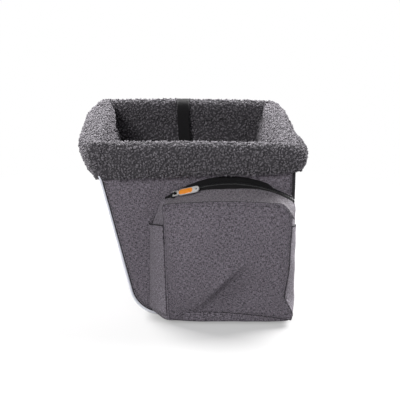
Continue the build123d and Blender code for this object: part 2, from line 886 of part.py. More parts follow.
def buckle_web(plane, bar_y, direction, end):
    """Web that turns back round a buckle's bar and runs along the panel to its stitched end."""
    web_mid = layer_gap + web_thickness / 2
    turn = strap_bar_diameter / 2 + layer_gap + web_thickness / 2
    points = [
        (end, web_mid),
        (bar_y + direction * web_ramp, web_mid),
        (bar_y + direction * turn, bar_out - turn),
        (bar_y - direction * turn, bar_out - turn),
        (bar_y - direction * turn, bar_out + turn),
        (bar_y + direction * turn, bar_out + turn),
        (bar_y + direction * 2 * web_ramp, web_mid + web_thickness + layer_gap),
        (bar_y + direction * (2 * web_ramp + web_tail), web_mid + web_thickness + layer_gap),
    ]
    bend = web_bend
    radii = [bend, bend, turn * turn_share, turn * turn_share, bend, bend]
    with BuildPart() as web:
        with BuildSketch(Plane(origin=plane.origin, x_dir=plane.y_dir, z_dir=plane.x_dir)):
            add(web_strip(points, radii))
        extrude(amount=strap_width / 2, both=True)
    return web.part


def back_plane(x, z, along):
    """Plane of a buckle on the back panel, with its y along the strap."""
    return Plane(
        origin=(x, back_y, z), x_dir=Vector(*along).cross(Vector(0, 1, 0)), z_dir=(0, 1, 0)
    )


for name, x in (("bar_strap_left", bar_strap_x), ("bar_strap_right", -bar_strap_x)):
    bar_plane = back_plane(x, bar_strap_z, (0, 0, 1))
    save(buckle_socket(bar_plane), f"{name}_socket")
    save(buckle_plug(bar_plane), f"{name}_plug")
    save(buckle_web(bar_plane, socket_bar_y, 1, bar_strap_top_run), f"{name}_upper_web")
    save(buckle_web(bar_plane, plug_bar_y, -1, -bar_strap_foot_run), f"{name}_lower_web")

stem_plane = back_plane(0, stem_strap_z, (1, 0, 0))
save(buckle_socket(stem_plane), "stem_strap_socket")
save(buckle_plug(stem_plane), "stem_strap_plug")
save(buckle_web(stem_plane, socket_bar_y, 1, stem_strap_reach), "stem_strap_left_web")
save(buckle_web(stem_plane, plug_bar_y, -1, -stem_strap_reach), "stem_strap_right_web")

# Tether: stitched to the right side panel under the cuff, up over the rim and down inside
over_rim = cuff_outer + layer_gap + web_thickness / 2
eye_turn = eye_bar_diameter / 2 + layer_gap + web_thickness / 2
web_inside = ring_x - over_rim
eye_x = web_inside - eye_turn
under_cuff_z = wire_z - cuff_drop - layer_gap - web_thickness / 2
tether_points = [
    (side_x + layer_gap + web_thickness / 2, rim_height - tether_end_drop),
    (side_x + layer_gap + web_thickness / 2, under_cuff_z),
    (ring_x + over_rim, under_cuff_z),
    (ring_x + over_rim, wire_z + over_rim),
    (web_inside, wire_z + over_rim),
    (web_inside, tether_bar_z - eye_turn),
    (eye_x - eye_turn, tether_bar_z - eye_turn),
    (eye_x - eye_turn, tether_bar_z + eye_turn),
    (web_inside - web_thickness - layer_gap, tether_bar_z + 2 * web_ramp),
    (web_inside - web_thickness - layer_gap, tether_bar_z + 2 * web_ramp + web_tail),
]
tether_radii = [
    web_bend,
    web_turn,
    over_rim * turn_share,
    over_rim * turn_share,
    eye_turn * turn_share,
    eye_turn * turn_share,
    web_bend,
    web_bend,
]
with BuildPart() as tether_web:
    with BuildSketch(Plane(origin=(0, tether_y, 0), x_dir=(-1, 0, 0), z_dir=(0, 1, 0))):
        add(web_strip(tether_points, tether_radii))
    extrude(amount=tether_width / 2, both=True)
save(tether_web.part, "tether_web")

# Snap on the tether's end, drawn in a plane that faces +X, x along +Y and y along +Z
snap_plane = Plane(origin=(-eye_x, tether_y, tether_bar_z), x_dir=(0, 1, 0), z_dir=(1, 0, 0))
eye_half = tether_width / 2 + 2 * layer_gap
yoke_top = swivel_seat - eye_height


def snap_round(y, height, radius, length, mode=Mode.ADD):
    """Round feature of the snap on an upright axis beside the swivel's, from a height upwards."""
    with Locations((-eye_x, tether_y + y, tether_bar_z + height)):
        Cylinder(radius, length, align=(Align.CENTER, Align.CENTER, Align.MIN), mode=mode)


def snap_prism(y, height, radius, length):
    """Many-sided feature of the snap on such an axis."""
    with BuildSketch(Plane.XY.offset(tether_bar_z + height)) as outline:
        with Locations((-eye_x, tether_y + y)):
            RegularPolygon(radius, 2 * rod_sides)
    extrude(outline.sketch, amount=length)


with BuildPart() as snap_eye:
    with BuildSketch(snap_plane):
        with BuildLine():
            Polyline(
                (eye_half + eye_rod, eye_bar_diameter / 2),
                (-eye_half - eye_rod, eye_bar_diameter / 2),
                (-eye_half - eye_rod, -eye_bar_diameter),
                (-swivel_head_diameter, -eye_height),
                (swivel_head_diameter, -eye_height),
                (eye_half + eye_rod, -eye_bar_diameter),
                close=True,
            )
        make_face()
        with BuildLine():
            Polyline(
                (eye_half, eye_bar_diameter),
                (-eye_half, eye_bar_diameter),
                (-eye_half, -eye_bar_diameter),
                (-swivel_head_diameter, yoke_top),
                (swivel_head_diameter, yoke_top),
                (eye_half, -eye_bar_diameter),
                close=True,
            )
        make_face(mode=Mode.SUBTRACT)
    extrude(amount=eye_rod / 2, both=True)
    with BuildSketch(Plane(origin=snap_plane.origin, z_dir=snap_plane.x_dir)):
        Circle(eye_bar_diameter / 2)
    extrude(amount=eye_half + eye_rod / 2, both=True)
    snap_prism(0, -eye_height, swivel_head_diameter / 2 + layer_gap, swivel_seat)
    snap_round(0, -eye_height, swivel_diameter / 2 + swivel_clearance, swivel_seat, Mode.SUBTRACT)
save(snap_eye.part, "tether_snap_eye")

body_top = -eye_height - layer_gap
shoulder_z = body_top - snap_collar_height
barrel_end = shoulder_z - snap_rod - snap_barrel_length
tip_z = barrel_end - snap_mouth
bow_z = tip_z - snap_rod / 2
bow = []
for step in range(snap_bow_steps + 1):
    turn = pi * step / snap_bow_steps
    bow.append((-snap_bow_radius * cos(turn), bow_z - snap_bow_radius * sin(turn)))

with BuildPart() as snap_body:
    snap_prism(0, yoke_top + layer_gap, swivel_head_diameter / 2, swivel_head_height)
    snap_round(0, shoulder_z, swivel_diameter / 2, yoke_top + layer_gap - shoulder_z)
    snap_prism(0, shoulder_z, swivel_head_diameter / 2 + layer_gap, snap_collar_height)
    with BuildSketch(snap_plane):
        with Locations((0, shoulder_z - snap_rod / 2)):
            SlotOverall(2 * snap_bow_radius + snap_rod, snap_rod)
    extrude(amount=snap_rod / 2, both=True)
    with BuildLine(snap_plane):
        Polyline((-snap_bow_radius, shoulder_z - snap_rod / 2), *bow, (snap_bow_radius, tip_z))
    with BuildSketch(Plane.XY.offset(tether_bar_z + shoulder_z - snap_rod / 2)):
        with Locations((-eye_x, tether_y - snap_bow_radius)):
            RegularPolygon(snap_rod / 2, rod_sides)
    sweep(transition=Transition.RIGHT)
    snap_prism(
        snap_bow_radius, barrel_end, snap_barrel_diameter / 2, snap_barrel_length + snap_rod / 2
    )
    snap_round(
        snap_bow_radius,
        barrel_end,
        bolt_diameter / 2 + bolt_clearance,
        bolt_bore_length,
        Mode.SUBTRACT,
    )
    with BuildSketch(snap_plane):
        with Locations((snap_bow_radius, barrel_end + knob_height + bolt_travel / 2)):
            SlotOverall(
                bolt_travel + bolt_knob_diameter + 2 * bolt_clearance,
                bolt_knob_diameter + 2 * bolt_clearance,
                rotation=90,
            )
    extrude(amount=snap_barrel_diameter, mode=Mode.SUBTRACT)
save(snap_body.part, "tether_snap_body")

with BuildPart() as snap_bolt:
    snap_round(
        snap_bow_radius, tip_z + bolt_seat, bolt_diameter / 2, snap_mouth - bolt_seat + bolt_guided
    )
    with BuildSketch(snap_plane):
        with Locations((snap_bow_radius, barrel_end + knob_height)):
            Circle(bolt_knob_diameter / 2)
    extrude(amount=snap_barrel_diameter / 2 + bolt_knob_reach)
save(snap_bolt.part, "tether_snap_bolt")

spring_length = bolt_bore_length - bolt_guided - 2 * bolt_seat - spring_wire
spring_radius = (bolt_diameter - spring_wire) / 2
spring_base = tether_bar_z + barrel_end + bolt_guided + bolt_seat + spring_wire / 2
spring_steps = spring_turns * spring_turn_steps
spring_rise = spring_length / spring_turns / (2 * pi * spring_radius)
with BuildPart() as snap_spring:
    for step in range(spring_steps + 1):
        turn = 2 * pi * step / spring_turn_steps
        section = Plane(
            origin=(
                -eye_x + spring_radius * cos(turn),
                tether_y + snap_bow_radius + spring_radius * sin(turn),
                spring_base + spring_length * step / spring_steps,
            ),
            x_dir=(cos(turn), sin(turn), 0),
            z_dir=(-sin(turn), cos(turn), spring_rise),
        )
        with BuildSketch(section):
            RegularPolygon(spring_wire / 2, spring_sides)
    loft(ruled=True)
save(snap_spring.part, "tether_snap_spring")
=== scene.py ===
"""Looks of the dog basket: fleece liner, heathered shell, cargo pockets, straps and tether."""

import json
import math

import bmesh
import bpy
import numpy as np
from mathutils import Matrix, Vector, noise


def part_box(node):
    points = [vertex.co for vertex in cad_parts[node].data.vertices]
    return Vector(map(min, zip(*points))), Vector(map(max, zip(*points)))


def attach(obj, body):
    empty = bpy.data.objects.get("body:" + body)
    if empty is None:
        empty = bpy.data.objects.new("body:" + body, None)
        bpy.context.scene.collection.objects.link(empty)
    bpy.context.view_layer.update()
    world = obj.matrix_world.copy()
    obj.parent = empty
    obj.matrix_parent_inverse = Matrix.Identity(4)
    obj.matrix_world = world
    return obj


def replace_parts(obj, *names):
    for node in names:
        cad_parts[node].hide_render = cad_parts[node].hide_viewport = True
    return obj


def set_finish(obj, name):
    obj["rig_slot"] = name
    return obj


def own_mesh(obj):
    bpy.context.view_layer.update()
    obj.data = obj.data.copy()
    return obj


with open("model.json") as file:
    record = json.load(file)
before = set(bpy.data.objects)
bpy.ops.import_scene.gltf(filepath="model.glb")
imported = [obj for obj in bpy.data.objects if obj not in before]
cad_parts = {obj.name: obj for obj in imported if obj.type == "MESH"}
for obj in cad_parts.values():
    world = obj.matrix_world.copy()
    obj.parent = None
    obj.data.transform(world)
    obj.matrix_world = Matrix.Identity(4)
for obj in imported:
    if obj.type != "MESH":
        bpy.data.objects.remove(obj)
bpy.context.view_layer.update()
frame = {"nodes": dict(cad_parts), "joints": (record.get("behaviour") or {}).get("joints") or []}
MM = 0.001

# Sizes that the fabric shares with the basket's frame, in millimetres
SIDE_X = 201.5
HALF_WIDTH = 203.0
BACK_Y = 152.5
RIM_HEIGHT = 254.0
SLANT_RUN = 68.0
SLANT = math.atan2(SLANT_RUN, RIM_HEIGHT)
FRONT_CORNER = 50.0
WALL_TOP = 246.0
WIRE_Z = 250.1
RING_X = 199.05
RING_BACK = 150.05
RING_FRONT = -148.9
RING_MIDDLE = (RING_BACK + RING_FRONT) / 2
RING_HALF = (RING_BACK - RING_FRONT) / 2
POCKET_X = 247.5
ZIP_X = 212.5
ZIP_Y = 56.0
ZIP_Z = 19.5
ZIP_RADIUS = 190.0
ZIP_SLOPE = math.radians(30)


# Node trees: sockets that add, subtract and multiply like numbers
class Value:
    def __init__(self, owner, socket):
        self.owner = owner
        self.socket = socket

    def other(self, output):
        """Another output of the same node."""
        return Value(self.owner, self.socket.node.outputs[output])

    def maths(self, operation, *others):
        return self.owner.add("ShaderNodeMath", {"operation": operation}, self, *others)

    def __add__(self, other):
        return self.maths("ADD", other)

    def __sub__(self, other):
        return self.maths("SUBTRACT", other)

    def __mul__(self, other):
        return self.maths("MULTIPLY", other)

    def sine(self):
        return self.maths("SINE")


class Nodes:
    """A node tree whose nodes and links come from one method."""

    def __init__(self, tree):
        self.tree = tree
        tree.nodes.clear()

    def fill(self, socket, value):
        if isinstance(value, Value):
            self.tree.links.new(value.socket, socket)
        elif value is not None:
            socket.default_value = value

    def add(self, kind, settings=None, *values, out=0, **named):
        node = self.tree.nodes.new(kind)
        for key, setting in (settings or {}).items():
            setattr(node, key, setting)
        for index, value in enumerate(values):
            self.fill(node.inputs[index], value)
        for name, value in named.items():
            name = name.replace("_", " ")
            self.fill(next(s for s in node.inputs if s.name == name and s.enabled), value)
        return Value(self, node.outputs[out]) if node.outputs else None


class Finish(Nodes):
    """A procedural material with one shader."""

    def __init__(self, name, roughness, **constants):
        self.material = bpy.data.materials.new(name)
        self.material.use_nodes = True
        super().__init__(self.material.node_tree)
        shader = self.add("ShaderNodeBsdfPrincipled", {}, Roughness=roughness, **constants)
        self.add("ShaderNodeOutputMaterial", {}, shader)
        self.sockets = shader.socket.node.inputs

    def along_cloth(self):
        return self.add("ShaderNodeUVMap", {"uv_map": "cloth"})

    def in_space(self):
        return self.add("ShaderNodeTexCoord", out="Object")

    def noise(self, place, scale, detail=2.0, stretch=None):
        if stretch:
            place = self.add("ShaderNodeMapping", {}, place, Scale=(*stretch, 1.0))
        return self.add("ShaderNodeTexNoise", {}, Vector=place, Scale=scale, Detail=detail)

    def parts(self, place):
        first = self.add("ShaderNodeSeparateXYZ", {}, place)
        return first, first.other(1)

    def mix(self, share, dark, light):
        unused = [None] * 5
        colours = (*dark, 1.0), (*light, 1.0)
        return self.add("ShaderNodeMix", {"data_type": "RGBA"}, share, *unused, *colours, out=2)

    def made(self, colour, rough, height, distance, strength):
        """The material, with its colour, roughness and relief linked."""
        normal = self.add("ShaderNodeBump", {}, Strength=strength, Distance=distance, Height=height)
        for socket, value in (("Base Color", colour), ("Roughness", rough), ("Normal", normal)):
            self.fill(self.sockets[socket], value)
        return self.material


def heather(name, dark, light):
    """Heathered polyester: threads of uneven tone crossing in a fine plain weave."""
    cloth = Finish(name, 0.88, Sheen_Weight=0.08, Sheen_Roughness=0.5)
    place = cloth.along_cloth()
    warp = cloth.noise(place, 1.0, stretch=(1250.0, 240.0))
    weft = cloth.noise(place, 1.0, stretch=(220.0, 1150.0))
    slub = cloth.noise(place, 1250.0, 1.0)
    blotch = cloth.noise(place, 24.0, 3.0)
    across, along = cloth.parts(place)
    weave = (across * 3600.0).sine() * (along * 3600.0).sine()
    thread = (warp + weft - 1.0) * 4.4 + (slub - 0.5) * 3.4
    colour = cloth.mix(thread + (blotch - 0.5) * 0.3 + 0.5, dark, light)
    return cloth.made(colour, thread * 0.1 + 0.82, weave * 0.3 + thread * 0.7, 0.0006, 0.7)


def fleece(name, dark, light):
    """Curly pile, each curl of its own tone; the sheets under the curls carry no tone and take the dark
    end, a painted shade between the curls.
    """
    pile = Finish(name, 0.95, Sheen_Weight=0.12, Sheen_Roughness=0.6, Specular_IOR_Level=0.1)
    place = pile.in_space()
    tone = pile.add("ShaderNodeAttribute", {"attribute_name": "tone"}, out="Fac")
    clump = pile.noise(place, 150.0)
    hair = pile.noise(place, 900.0)
    # Where no curl sets the tone, on the rim and lining sheets, the share falls near the dark end: painted
    # shade in the gaps between the curls
    share = tone * 0.9 + (clump - 0.5) * 0.6 + (hair - 0.5) * 0.4
    return pile.made(pile.mix(share, dark, light), None, hair + clump * 0.6, 0.0012, 0.8)


def webbing(name, colour, pale, ribs=1250.0):
    """Woven strap: ribs across its length and a twill of fine threads."""
    strap = Finish(name, 0.75, Specular_IOR_Level=0.2)
    place = strap.along_cloth()
    across, along = strap.parts(place)
    rib = (along * (ribs * 2) + across * ribs).sine()
    thread = (across * (ribs * 3)).sine()
    wear = strap.noise(place, 90.0, 3.0)
    colour = strap.mix(rib * 0.12 + wear * 0.4, colour, pale)
    return strap.made(colour, wear * 0.2 + 0.65, rib * 0.6 + thread * 0.35, 0.0004, 0.8)


def moulded(name, colour, roughness, grain=1400.0, depth=0.00008, metallic=0.0):
    """Moulded, painted or plated surface with fine grain and handled edges."""
    hard = Finish(name, roughness, Metallic=metallic)
    place = hard.in_space()
    wear = hard.noise(place, 130.0, 3.0)
    paler = [min(1.0, c * 1.35 + 0.01) for c in colour]
    colour = hard.mix(wear * 0.8 - 0.1, colour, paler)
    return hard.made(colour, wear * 0.16 + (roughness - 0.08), hard.noise(place, grain), depth, 0.5)


def silver_cord(name):
    """Reflective piping: silvery, finely beaded tape with soft scuffs."""
    cord = Finish(name, 0.38, Metallic=0.35)
    place = cord.in_space()
    scuff = cord.noise(place, 60.0, 4.0)
    colour = cord.mix(scuff, (0.66, 0.67, 0.74), (0.88, 0.90, 0.96))
    return cord.made(colour, scuff * 0.25 + 0.3, cord.noise(place, 2400.0, 1.0), 0.0002, 0.6)


# Soft finishes, each with the slot that names what it is made of
HEATHER = heather("heather_cloth", (0.030, 0.026, 0.032), (0.250, 0.220, 0.261)), "heather_fabric"
# Copy of the heather cloth with its pale threads a little darker, for the pocket's top strip: painted
# shade, since the strip faces up into the lights
HEATHER_STRIP_SHADED = heather("heather_strip", (0.030, 0.026, 0.031), (0.222, 0.196, 0.225)), "heather_fabric"
FLEECE = fleece("fleece_pile", (0.045, 0.042, 0.047), (0.232, 0.216, 0.237)), "fleece"
BINDING = webbing("dark_seam_binding", (0.016, 0.015, 0.017), (0.045, 0.043, 0.047), 1700.0), "dark_binding"
WEBBING = webbing("black_webbing", (0.004, 0.0037, 0.0043), (0.013, 0.012, 0.014)), "webbing"
TAPE = webbing("black_zip_tape", (0.003, 0.0028, 0.0033), (0.010, 0.0095, 0.011), 2200.0), "zip_tape"
THREAD = moulded("sewing_thread", (0.035, 0.033, 0.037), 0.75, 5000.0, 0.0001), "heather_fabric"
THREAD_BLACK = moulded("black_thread", (0.012, 0.012, 0.013), 0.7, 5000.0, 0.0001), "webbing"
ZIP_THREAD = THREAD_BLACK[0], "zip_tape"
COIL = moulded("zip_coil_plastic", (0.010, 0.010, 0.011), 0.35), "zip_coil"
ENAMEL = moulded("pull_enamel", (0.72, 0.24, 0.025), 0.28, 900.0, 0.00003), "pull"
NICKEL = moulded("snap_nickel", (0.66, 0.65, 0.63), 0.2, 1100.0, 0.00004, 1.0), "snap"
SILVER = silver_cord("reflective_cord"), "reflective_piping"
BUCKLE = moulded("buckle_plastic", (0.014, 0.014, 0.015), 0.42, 2600.0, 0.00012)

# Finishes of the hard pieces, which keep their solids, by a part of the name
HARD_FINISHES = {
    "board": moulded("board_plastic", (0.22, 0.22, 0.23), 0.55, 700.0),
    "rim_wire": moulded("drawn_wire", (0.5, 0.5, 0.51), 0.34, 900.0, 0.00005, 1.0),
    "wire_ferrule": moulded("crimped_ferrule", (0.6, 0.6, 0.61), 0.4, 900.0, 0.00008, 1.0),
    "zip_slider": moulded("slider_enamel", (0.012, 0.012, 0.012), 0.3, 1200.0),
    "zip_pull": moulded("pull_plate", (0.80, 0.78, 0.75), 0.30, 1200.0, 0.00004, 0.6),
    "tether_snap": NICKEL[0],
    "_socket": BUCKLE,
    "_plug": BUCKLE,
}


# Lines and numbers
def wobble(x, y, z, size, seed):
    """Smooth uneven value from -1 to 1 at a place, for a lump size in millimetres."""
    return noise.noise(Vector((x / size + seed * 7.3, y / size - seed * 3.1, z / size + seed)))


def step_up(value, start, end):
    """Smooth rise from 0 to 1 between two places."""
    share = min(1.0, max(0.0, (value - start) / (end - start)))
    return share * share * (3 - 2 * share)


def hump(value, middle, width):
    """Smooth rise to 1 at a place and back to 0."""
    return math.exp(-(((value - middle) / width) ** 2))


def unit(vectors):
    return vectors / np.linalg.norm(vectors, axis=-1, keepdims=True)


def circle(sides):
    """Cosine and sine of even steps round a circle."""
    return [(math.cos(a), math.sin(a)) for a in np.linspace(0, 2 * math.pi, sides, endpoint=False)]


def at_x(x, line):
    """A side view's line of (y, z) points, put at an x."""
    return np.column_stack([np.full(len(line), x), line])


def smoothed(points, rounds):
    """Points of a closed line with their corners eased."""
    for _ in range(rounds):
        points = points * 0.5 + (np.roll(points, 1, 0) + np.roll(points, -1, 0)) * 0.25
    return points


def resampled(points, count):
    """A set count of points at an even step along a line."""
    points = np.asarray(points, float)
    lengths = np.concatenate([[0], np.cumsum(np.linalg.norm(np.diff(points, axis=0), axis=1))])
    at = np.linspace(0, lengths[-1], count)
    return np.stack([np.interp(at, lengths, column) for column in points.T], 1)


def spaced(points, step, closed=False):
    """Points at an even step along a line."""
    points = np.asarray(points, float)
    if closed:
        points = np.vstack([points, points[:1]])
    steps = round(np.linalg.norm(np.diff(points, axis=0), axis=1).sum() / step)
    return resampled(points, max(2, steps) + 1)[:-1] if closed else resampled(points, max(2, steps + 1))


def rounded(points, radii, steps=7):
    """A bent line with an arc at each bend."""
    points = np.asarray(points, float)
    line = [points[0]]
    for before, here, after, radius in zip(points, points[1:], points[2:], radii):
        into, out = unit(here - before), unit(after - here)
        reach = radius * math.tan(math.acos(max(-1.0, min(1.0, float(into @ out)))) / 2)
        start, end = here - into * reach, here + out * reach
        for t in np.linspace(0, 1, steps + 1):
            line.append((1 - t) ** 2 * start + 2 * t * (1 - t) * here + t**2 * end)
    return np.array(line + [points[-1]])


# Pieces: every sheet is a grid of points with its cloth length in metres as its UV
def added(name, data):
    """Object of a mesh, lamp or camera, put into the scene."""
    made = bpy.data.objects.new(name, data)
    bpy.context.scene.collection.objects.link(made)
    return made


def piece(name, mesh, finish, body="basket"):
    """Object of a finished mesh that rides on a body."""
    mesh.materials.clear()
    mesh.materials.append(finish[0])
    made = added(name, mesh)
    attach(made, body)
    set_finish(made, finish[1])
    return made


def grid(name, points, finish, body="basket", around=False, flip=False, closed=False):
    """Mesh of a grid of points in millimetres; around joins its last row to its first."""
    points = np.asarray(points, float) * MM
    rows, columns = points.shape[:2]
    lengths = []
    for axis in (0, 1):
        steps = np.linalg.norm(np.diff(points, axis=axis), axis=2).mean(1 - axis)
        lengths.append(np.concatenate([[0], np.cumsum(steps), [steps.sum() + steps.mean()]]))
    along, across = lengths
    faces, places = [], []
    for i in range(rows if around else rows - 1):
        for j in range(columns if closed else columns - 1):
            corners = [(i, j), (i + 1, j), (i + 1, j + 1), (i, j + 1)]
            if flip:
                corners.reverse()
            faces.append([(a % rows) * columns + b % columns for a, b in corners])
            places += [(across[b], along[a]) for a, b in corners]
    mesh = bpy.data.meshes.new(name)
    mesh.from_pydata(points.reshape(-1, 3).tolist(), [], faces)
    mesh.uv_layers.new(name="cloth").data.foreach_set("uv", np.asarray(places, np.float32).reshape(-1))
    mesh.shade_smooth()
    return piece(name, mesh, finish, body)


def thicken(made, thickness, offset=-1.0):
    """Cloth thickness in millimetres, inwards from the sheet's face."""
    solid = made.modifiers.new("cloth thickness", "SOLIDIFY")
    solid.thickness = thickness * MM
    solid.offset = offset
    solid.use_even_offset = False
    return made


def sheet(name, points, thickness, finish=HEATHER, flip=False):
    return thicken(grid(name, points, finish, flip=flip), thickness)


def capped(rings, share=0.0):
    """Rings of a closed form, with its first and last drawn in to a share of their size."""

    def drawn_in(ring):
        middle = np.mean(ring, axis=0)
        return middle + (np.array(ring) - middle) * share

    return [drawn_in(rings[0]), *rings, drawn_in(rings[-1])]


def tube(name, path, radius, finish, body="basket", sides=12, closed=False, wave=0.0):
    """Round cord along a line, with closed ends."""
    path = np.asarray(path, float)
    ahead = np.roll(path, -1, 0) - np.roll(path, 1, 0)
    if not closed:
        ahead[0], ahead[-1] = path[1] - path[0], path[-1] - path[-2]
    ahead = unit(ahead)
    side = np.cross(ahead[0], (0.31, 0.52, 0.79))
    rings = []
    for index, (place, direction) in enumerate(zip(path, ahead)):
        side = unit(side - direction * (side @ direction))
        up = np.cross(direction, side)
        reach = radius * (1 + wave * wobble(*place, 9.0, index % 3))
        rings.append([place + reach * (side * cosine + up * sine) for cosine, sine in circle(sides)])
    rings = rings if closed else capped(rings, 0.05)
    return grid(name, rings, finish, body, around=closed, closed=True, flip=True)


def ribbon(name, path, across, width, thickness):
    """Strap along a line, as wide as the vector across points, with rolled edges."""
    half, edge = width / 2, thickness / 2
    outline = []
    for sign in (1, -1):
        outline += [(-sign * k * (half - edge), sign * edge) for k in np.linspace(1, -1, 9)]
        outline.append((sign * half, 0.0))
    across = np.array(across)
    rings = []
    for place, direction in zip(path, unit(np.gradient(path, axis=0))):
        out = np.cross(direction, across)
        rings.append([place + across * a + out * b for a, b in outline])
    return upright(grid(name, capped(rings, 0.2), WEBBING, closed=True))


def upright(made):
    """Turns every face of a closed mesh outwards."""
    work = bmesh.new()
    work.from_mesh(made.data)
    bmesh.ops.remove_doubles(work, verts=work.verts, dist=1e-6)
    bmesh.ops.recalc_face_normals(work, faces=work.faces)
    work.to_mesh(made.data)
    work.free()
    return made


def mirrored(made, node=None, body="basket"):
    """The same piece on the basket's other side; node names the solids that the two stand for."""
    mesh = made.data.copy()
    mesh.transform(Matrix.Scale(-1, 4, Vector((1, 0, 0))))
    mesh.flip_normals()
    mesh.name = made.name.replace("_left", "_right")
    twin = piece(mesh.name, mesh, (made.data.materials[0], made["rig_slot"]), body)
    for modifier in made.modifiers:
        thicken(twin, modifier.thickness / MM, modifier.offset)
    if node:
        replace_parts(made, node + "_left")
        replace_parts(twin, node + "_right")


# Geometry Nodes: trees with named sizes and a fixed seed
class Growth(Nodes):
    """A geometry tree on a carrier mesh, whose result is taken as a plain mesh."""

    def __init__(self, name, **sizes):
        super().__init__(bpy.data.node_groups.new(name, "GeometryNodeTree"))
        sockets = self.tree.interface
        for way in ("INPUT", "OUTPUT"):
            sockets.new_socket("Geometry", in_out=way, socket_type="NodeSocketGeometry")
        self.settings = {}
        for size, value in sizes.items():
            label = size.replace("_", " ")
            socket = sockets.new_socket(label, in_out="INPUT", socket_type="NodeSocketFloat")
            self.settings[socket.identifier] = value
        self.inlet = self.add("NodeGroupInput")

    def chance(self, low, high, seed):
        """Random number for each point."""
        limits = None, None, low, high
        return self.add("FunctionNodeRandomValue", {"data_type": "FLOAT"}, *limits, out=1, Seed=seed)

    def repeat(self, points, shape, rotation, scale):
        seen = self.add("GeometryNodeObjectInfo", {}, shape, out="Geometry")
        return self.add(
            "GeometryNodeInstanceOnPoints", {}, Points=points, Instance=seen, Rotation=rotation, Scale=scale
        )

    def grow(self, name, carrier_mesh, geometry, finish):
        real = self.add("GeometryNodeRealizeInstances", {}, geometry)
        painted = self.add("GeometryNodeSetMaterial", {}, Geometry=real, Material=finish[0])
        self.add("NodeGroupOutput", {}, painted)
        carrier = added(name + "_carrier", carrier_mesh)
        modifier = carrier.modifiers.new("growth", "NODES")
        modifier.node_group = self.tree
        for identifier, value in self.settings.items():
            modifier[identifier] = value
        bpy.context.view_layer.update()
        seen = carrier.evaluated_get(bpy.context.evaluated_depsgraph_get())
        mesh = bpy.data.meshes.new_from_object(seen)
        mesh.name = name
        carrier.modifiers.remove(modifier)
        bpy.data.objects.remove(carrier)
        mesh.shade_smooth()
        return piece(name, mesh, finish)


def seed_shape(name, rings):
    """Small closed shape through rings of points, which trees repeat and which itself isn't shown."""
    sides, last = len(rings[0]), (len(rings) - 1) * len(rings[0])
    faces = [list(range(sides)), list(range(last, last + sides))]
    for low in range(0, last, sides):
        for s in range(sides):
            n = (s + 1) % sides
            faces.append([low + s, low + n, low + sides + n, low + sides + s])
    mesh = bpy.data.meshes.new(name)
    mesh.from_pydata([tuple(point) for ring in rings for point in ring], [], faces)
    made = upright(added(name, mesh))
    made.hide_render = made.hide_viewport = True
    return made


def curl_rings():
    """One curl of the pile: a short hooked lock with a blunt tip."""
    rings = []
    for t in np.linspace(0, 1, 4):
        turn = math.radians(250) * t
        centre = Vector((0.62 * (1 - math.cos(turn)), 0.25 * t, 0.62 * math.sin(turn) + 0.35 * t))
        reach = 0.62 * math.sin(math.pi * (0.18 + 0.70 * t)) ** 0.6
        out = Vector((math.cos(turn), 0, -math.sin(turn)))
        rings.append([centre + reach * (out * cosine + Vector((0, sine, 0))) for cosine, sine in circle(4)])
    return rings


def stitch_rings(length, reach):
    """One stitch: a thread that dips into the cloth at both ends."""
    return [
        [(x * length * MM, reach * cosine * MM, reach * (lift + sine) * MM) for cosine, sine in circle(5)]
        for x, lift in ((-0.5, -0.6), (-0.38, 0.25), (0.0, 0.55), (0.38, 0.25), (0.5, -0.6))
    ]


def coil_rings():
    """One turn of the zip's coil, seen as a rounded bead across the tape."""
    half = ((2.5, 0.3, 0.45), (2.1, 0.9, 0.62), (0.8, 1.5, 0.55))
    return [
        [(reach * 0.75 * cosine * MM, y * MM, (lift + reach * sine) * MM) for cosine, sine in circle(6)]
        for y, lift, reach in [(-across, lift, reach) for across, lift, reach in half] + list(half[::-1])
    ]


CURL = seed_shape("curl_seed", curl_rings())
STITCH = seed_shape("stitch_seed", stitch_rings(2.9, 0.32))
STITCH_SMALL = seed_shape("stitch_small_seed", stitch_rings(2.1, 0.26))
COIL_TURN = seed_shape("coil_seed", coil_rings())


def curls(name, carrier, spacing, size, seed):
    """Pile of curls scattered over a carrier's faces, none closer than the spacing."""
    growth = Growth(name + "_growth", Spacing=spacing * MM, Curl_size=size * MM)
    scatter = growth.add(
        "GeometryNodeDistributePointsOnFaces",
        {"distribute_method": "POISSON"},
        growth.inlet,
        Distance_Min=growth.inlet.other("Spacing"),
        Density_Max=2.4 / (spacing * MM) ** 2,
        Seed=seed,
    )
    spin = growth.add(
        "FunctionNodeRandomValue",
        {"data_type": "FLOAT_VECTOR"},
        (-0.75, -0.75, -3.14),
        (0.75, 0.75, 3.14),
        Seed=seed + 2,
    )
    turned = growth.add("FunctionNodeEulerToRotation", {}, spin)
    local = {"rotation_space": "LOCAL"}
    aim = growth.add("FunctionNodeRotateRotation", local, scatter.other("Rotation"), turned)
    scale = growth.inlet.other("Curl size") * growth.chance(0.75, 1.3, seed + 3)
    marked = growth.add(
        "GeometryNodeStoreNamedAttribute",
        {"data_type": "FLOAT", "domain": "INSTANCE"},
        growth.repeat(scatter, CURL, aim, scale),
        Name="tone",
        Value=growth.chance(0.4, 0.85, seed + 1),
    )
    return growth.grow(name, carrier, marked, FLEECE)


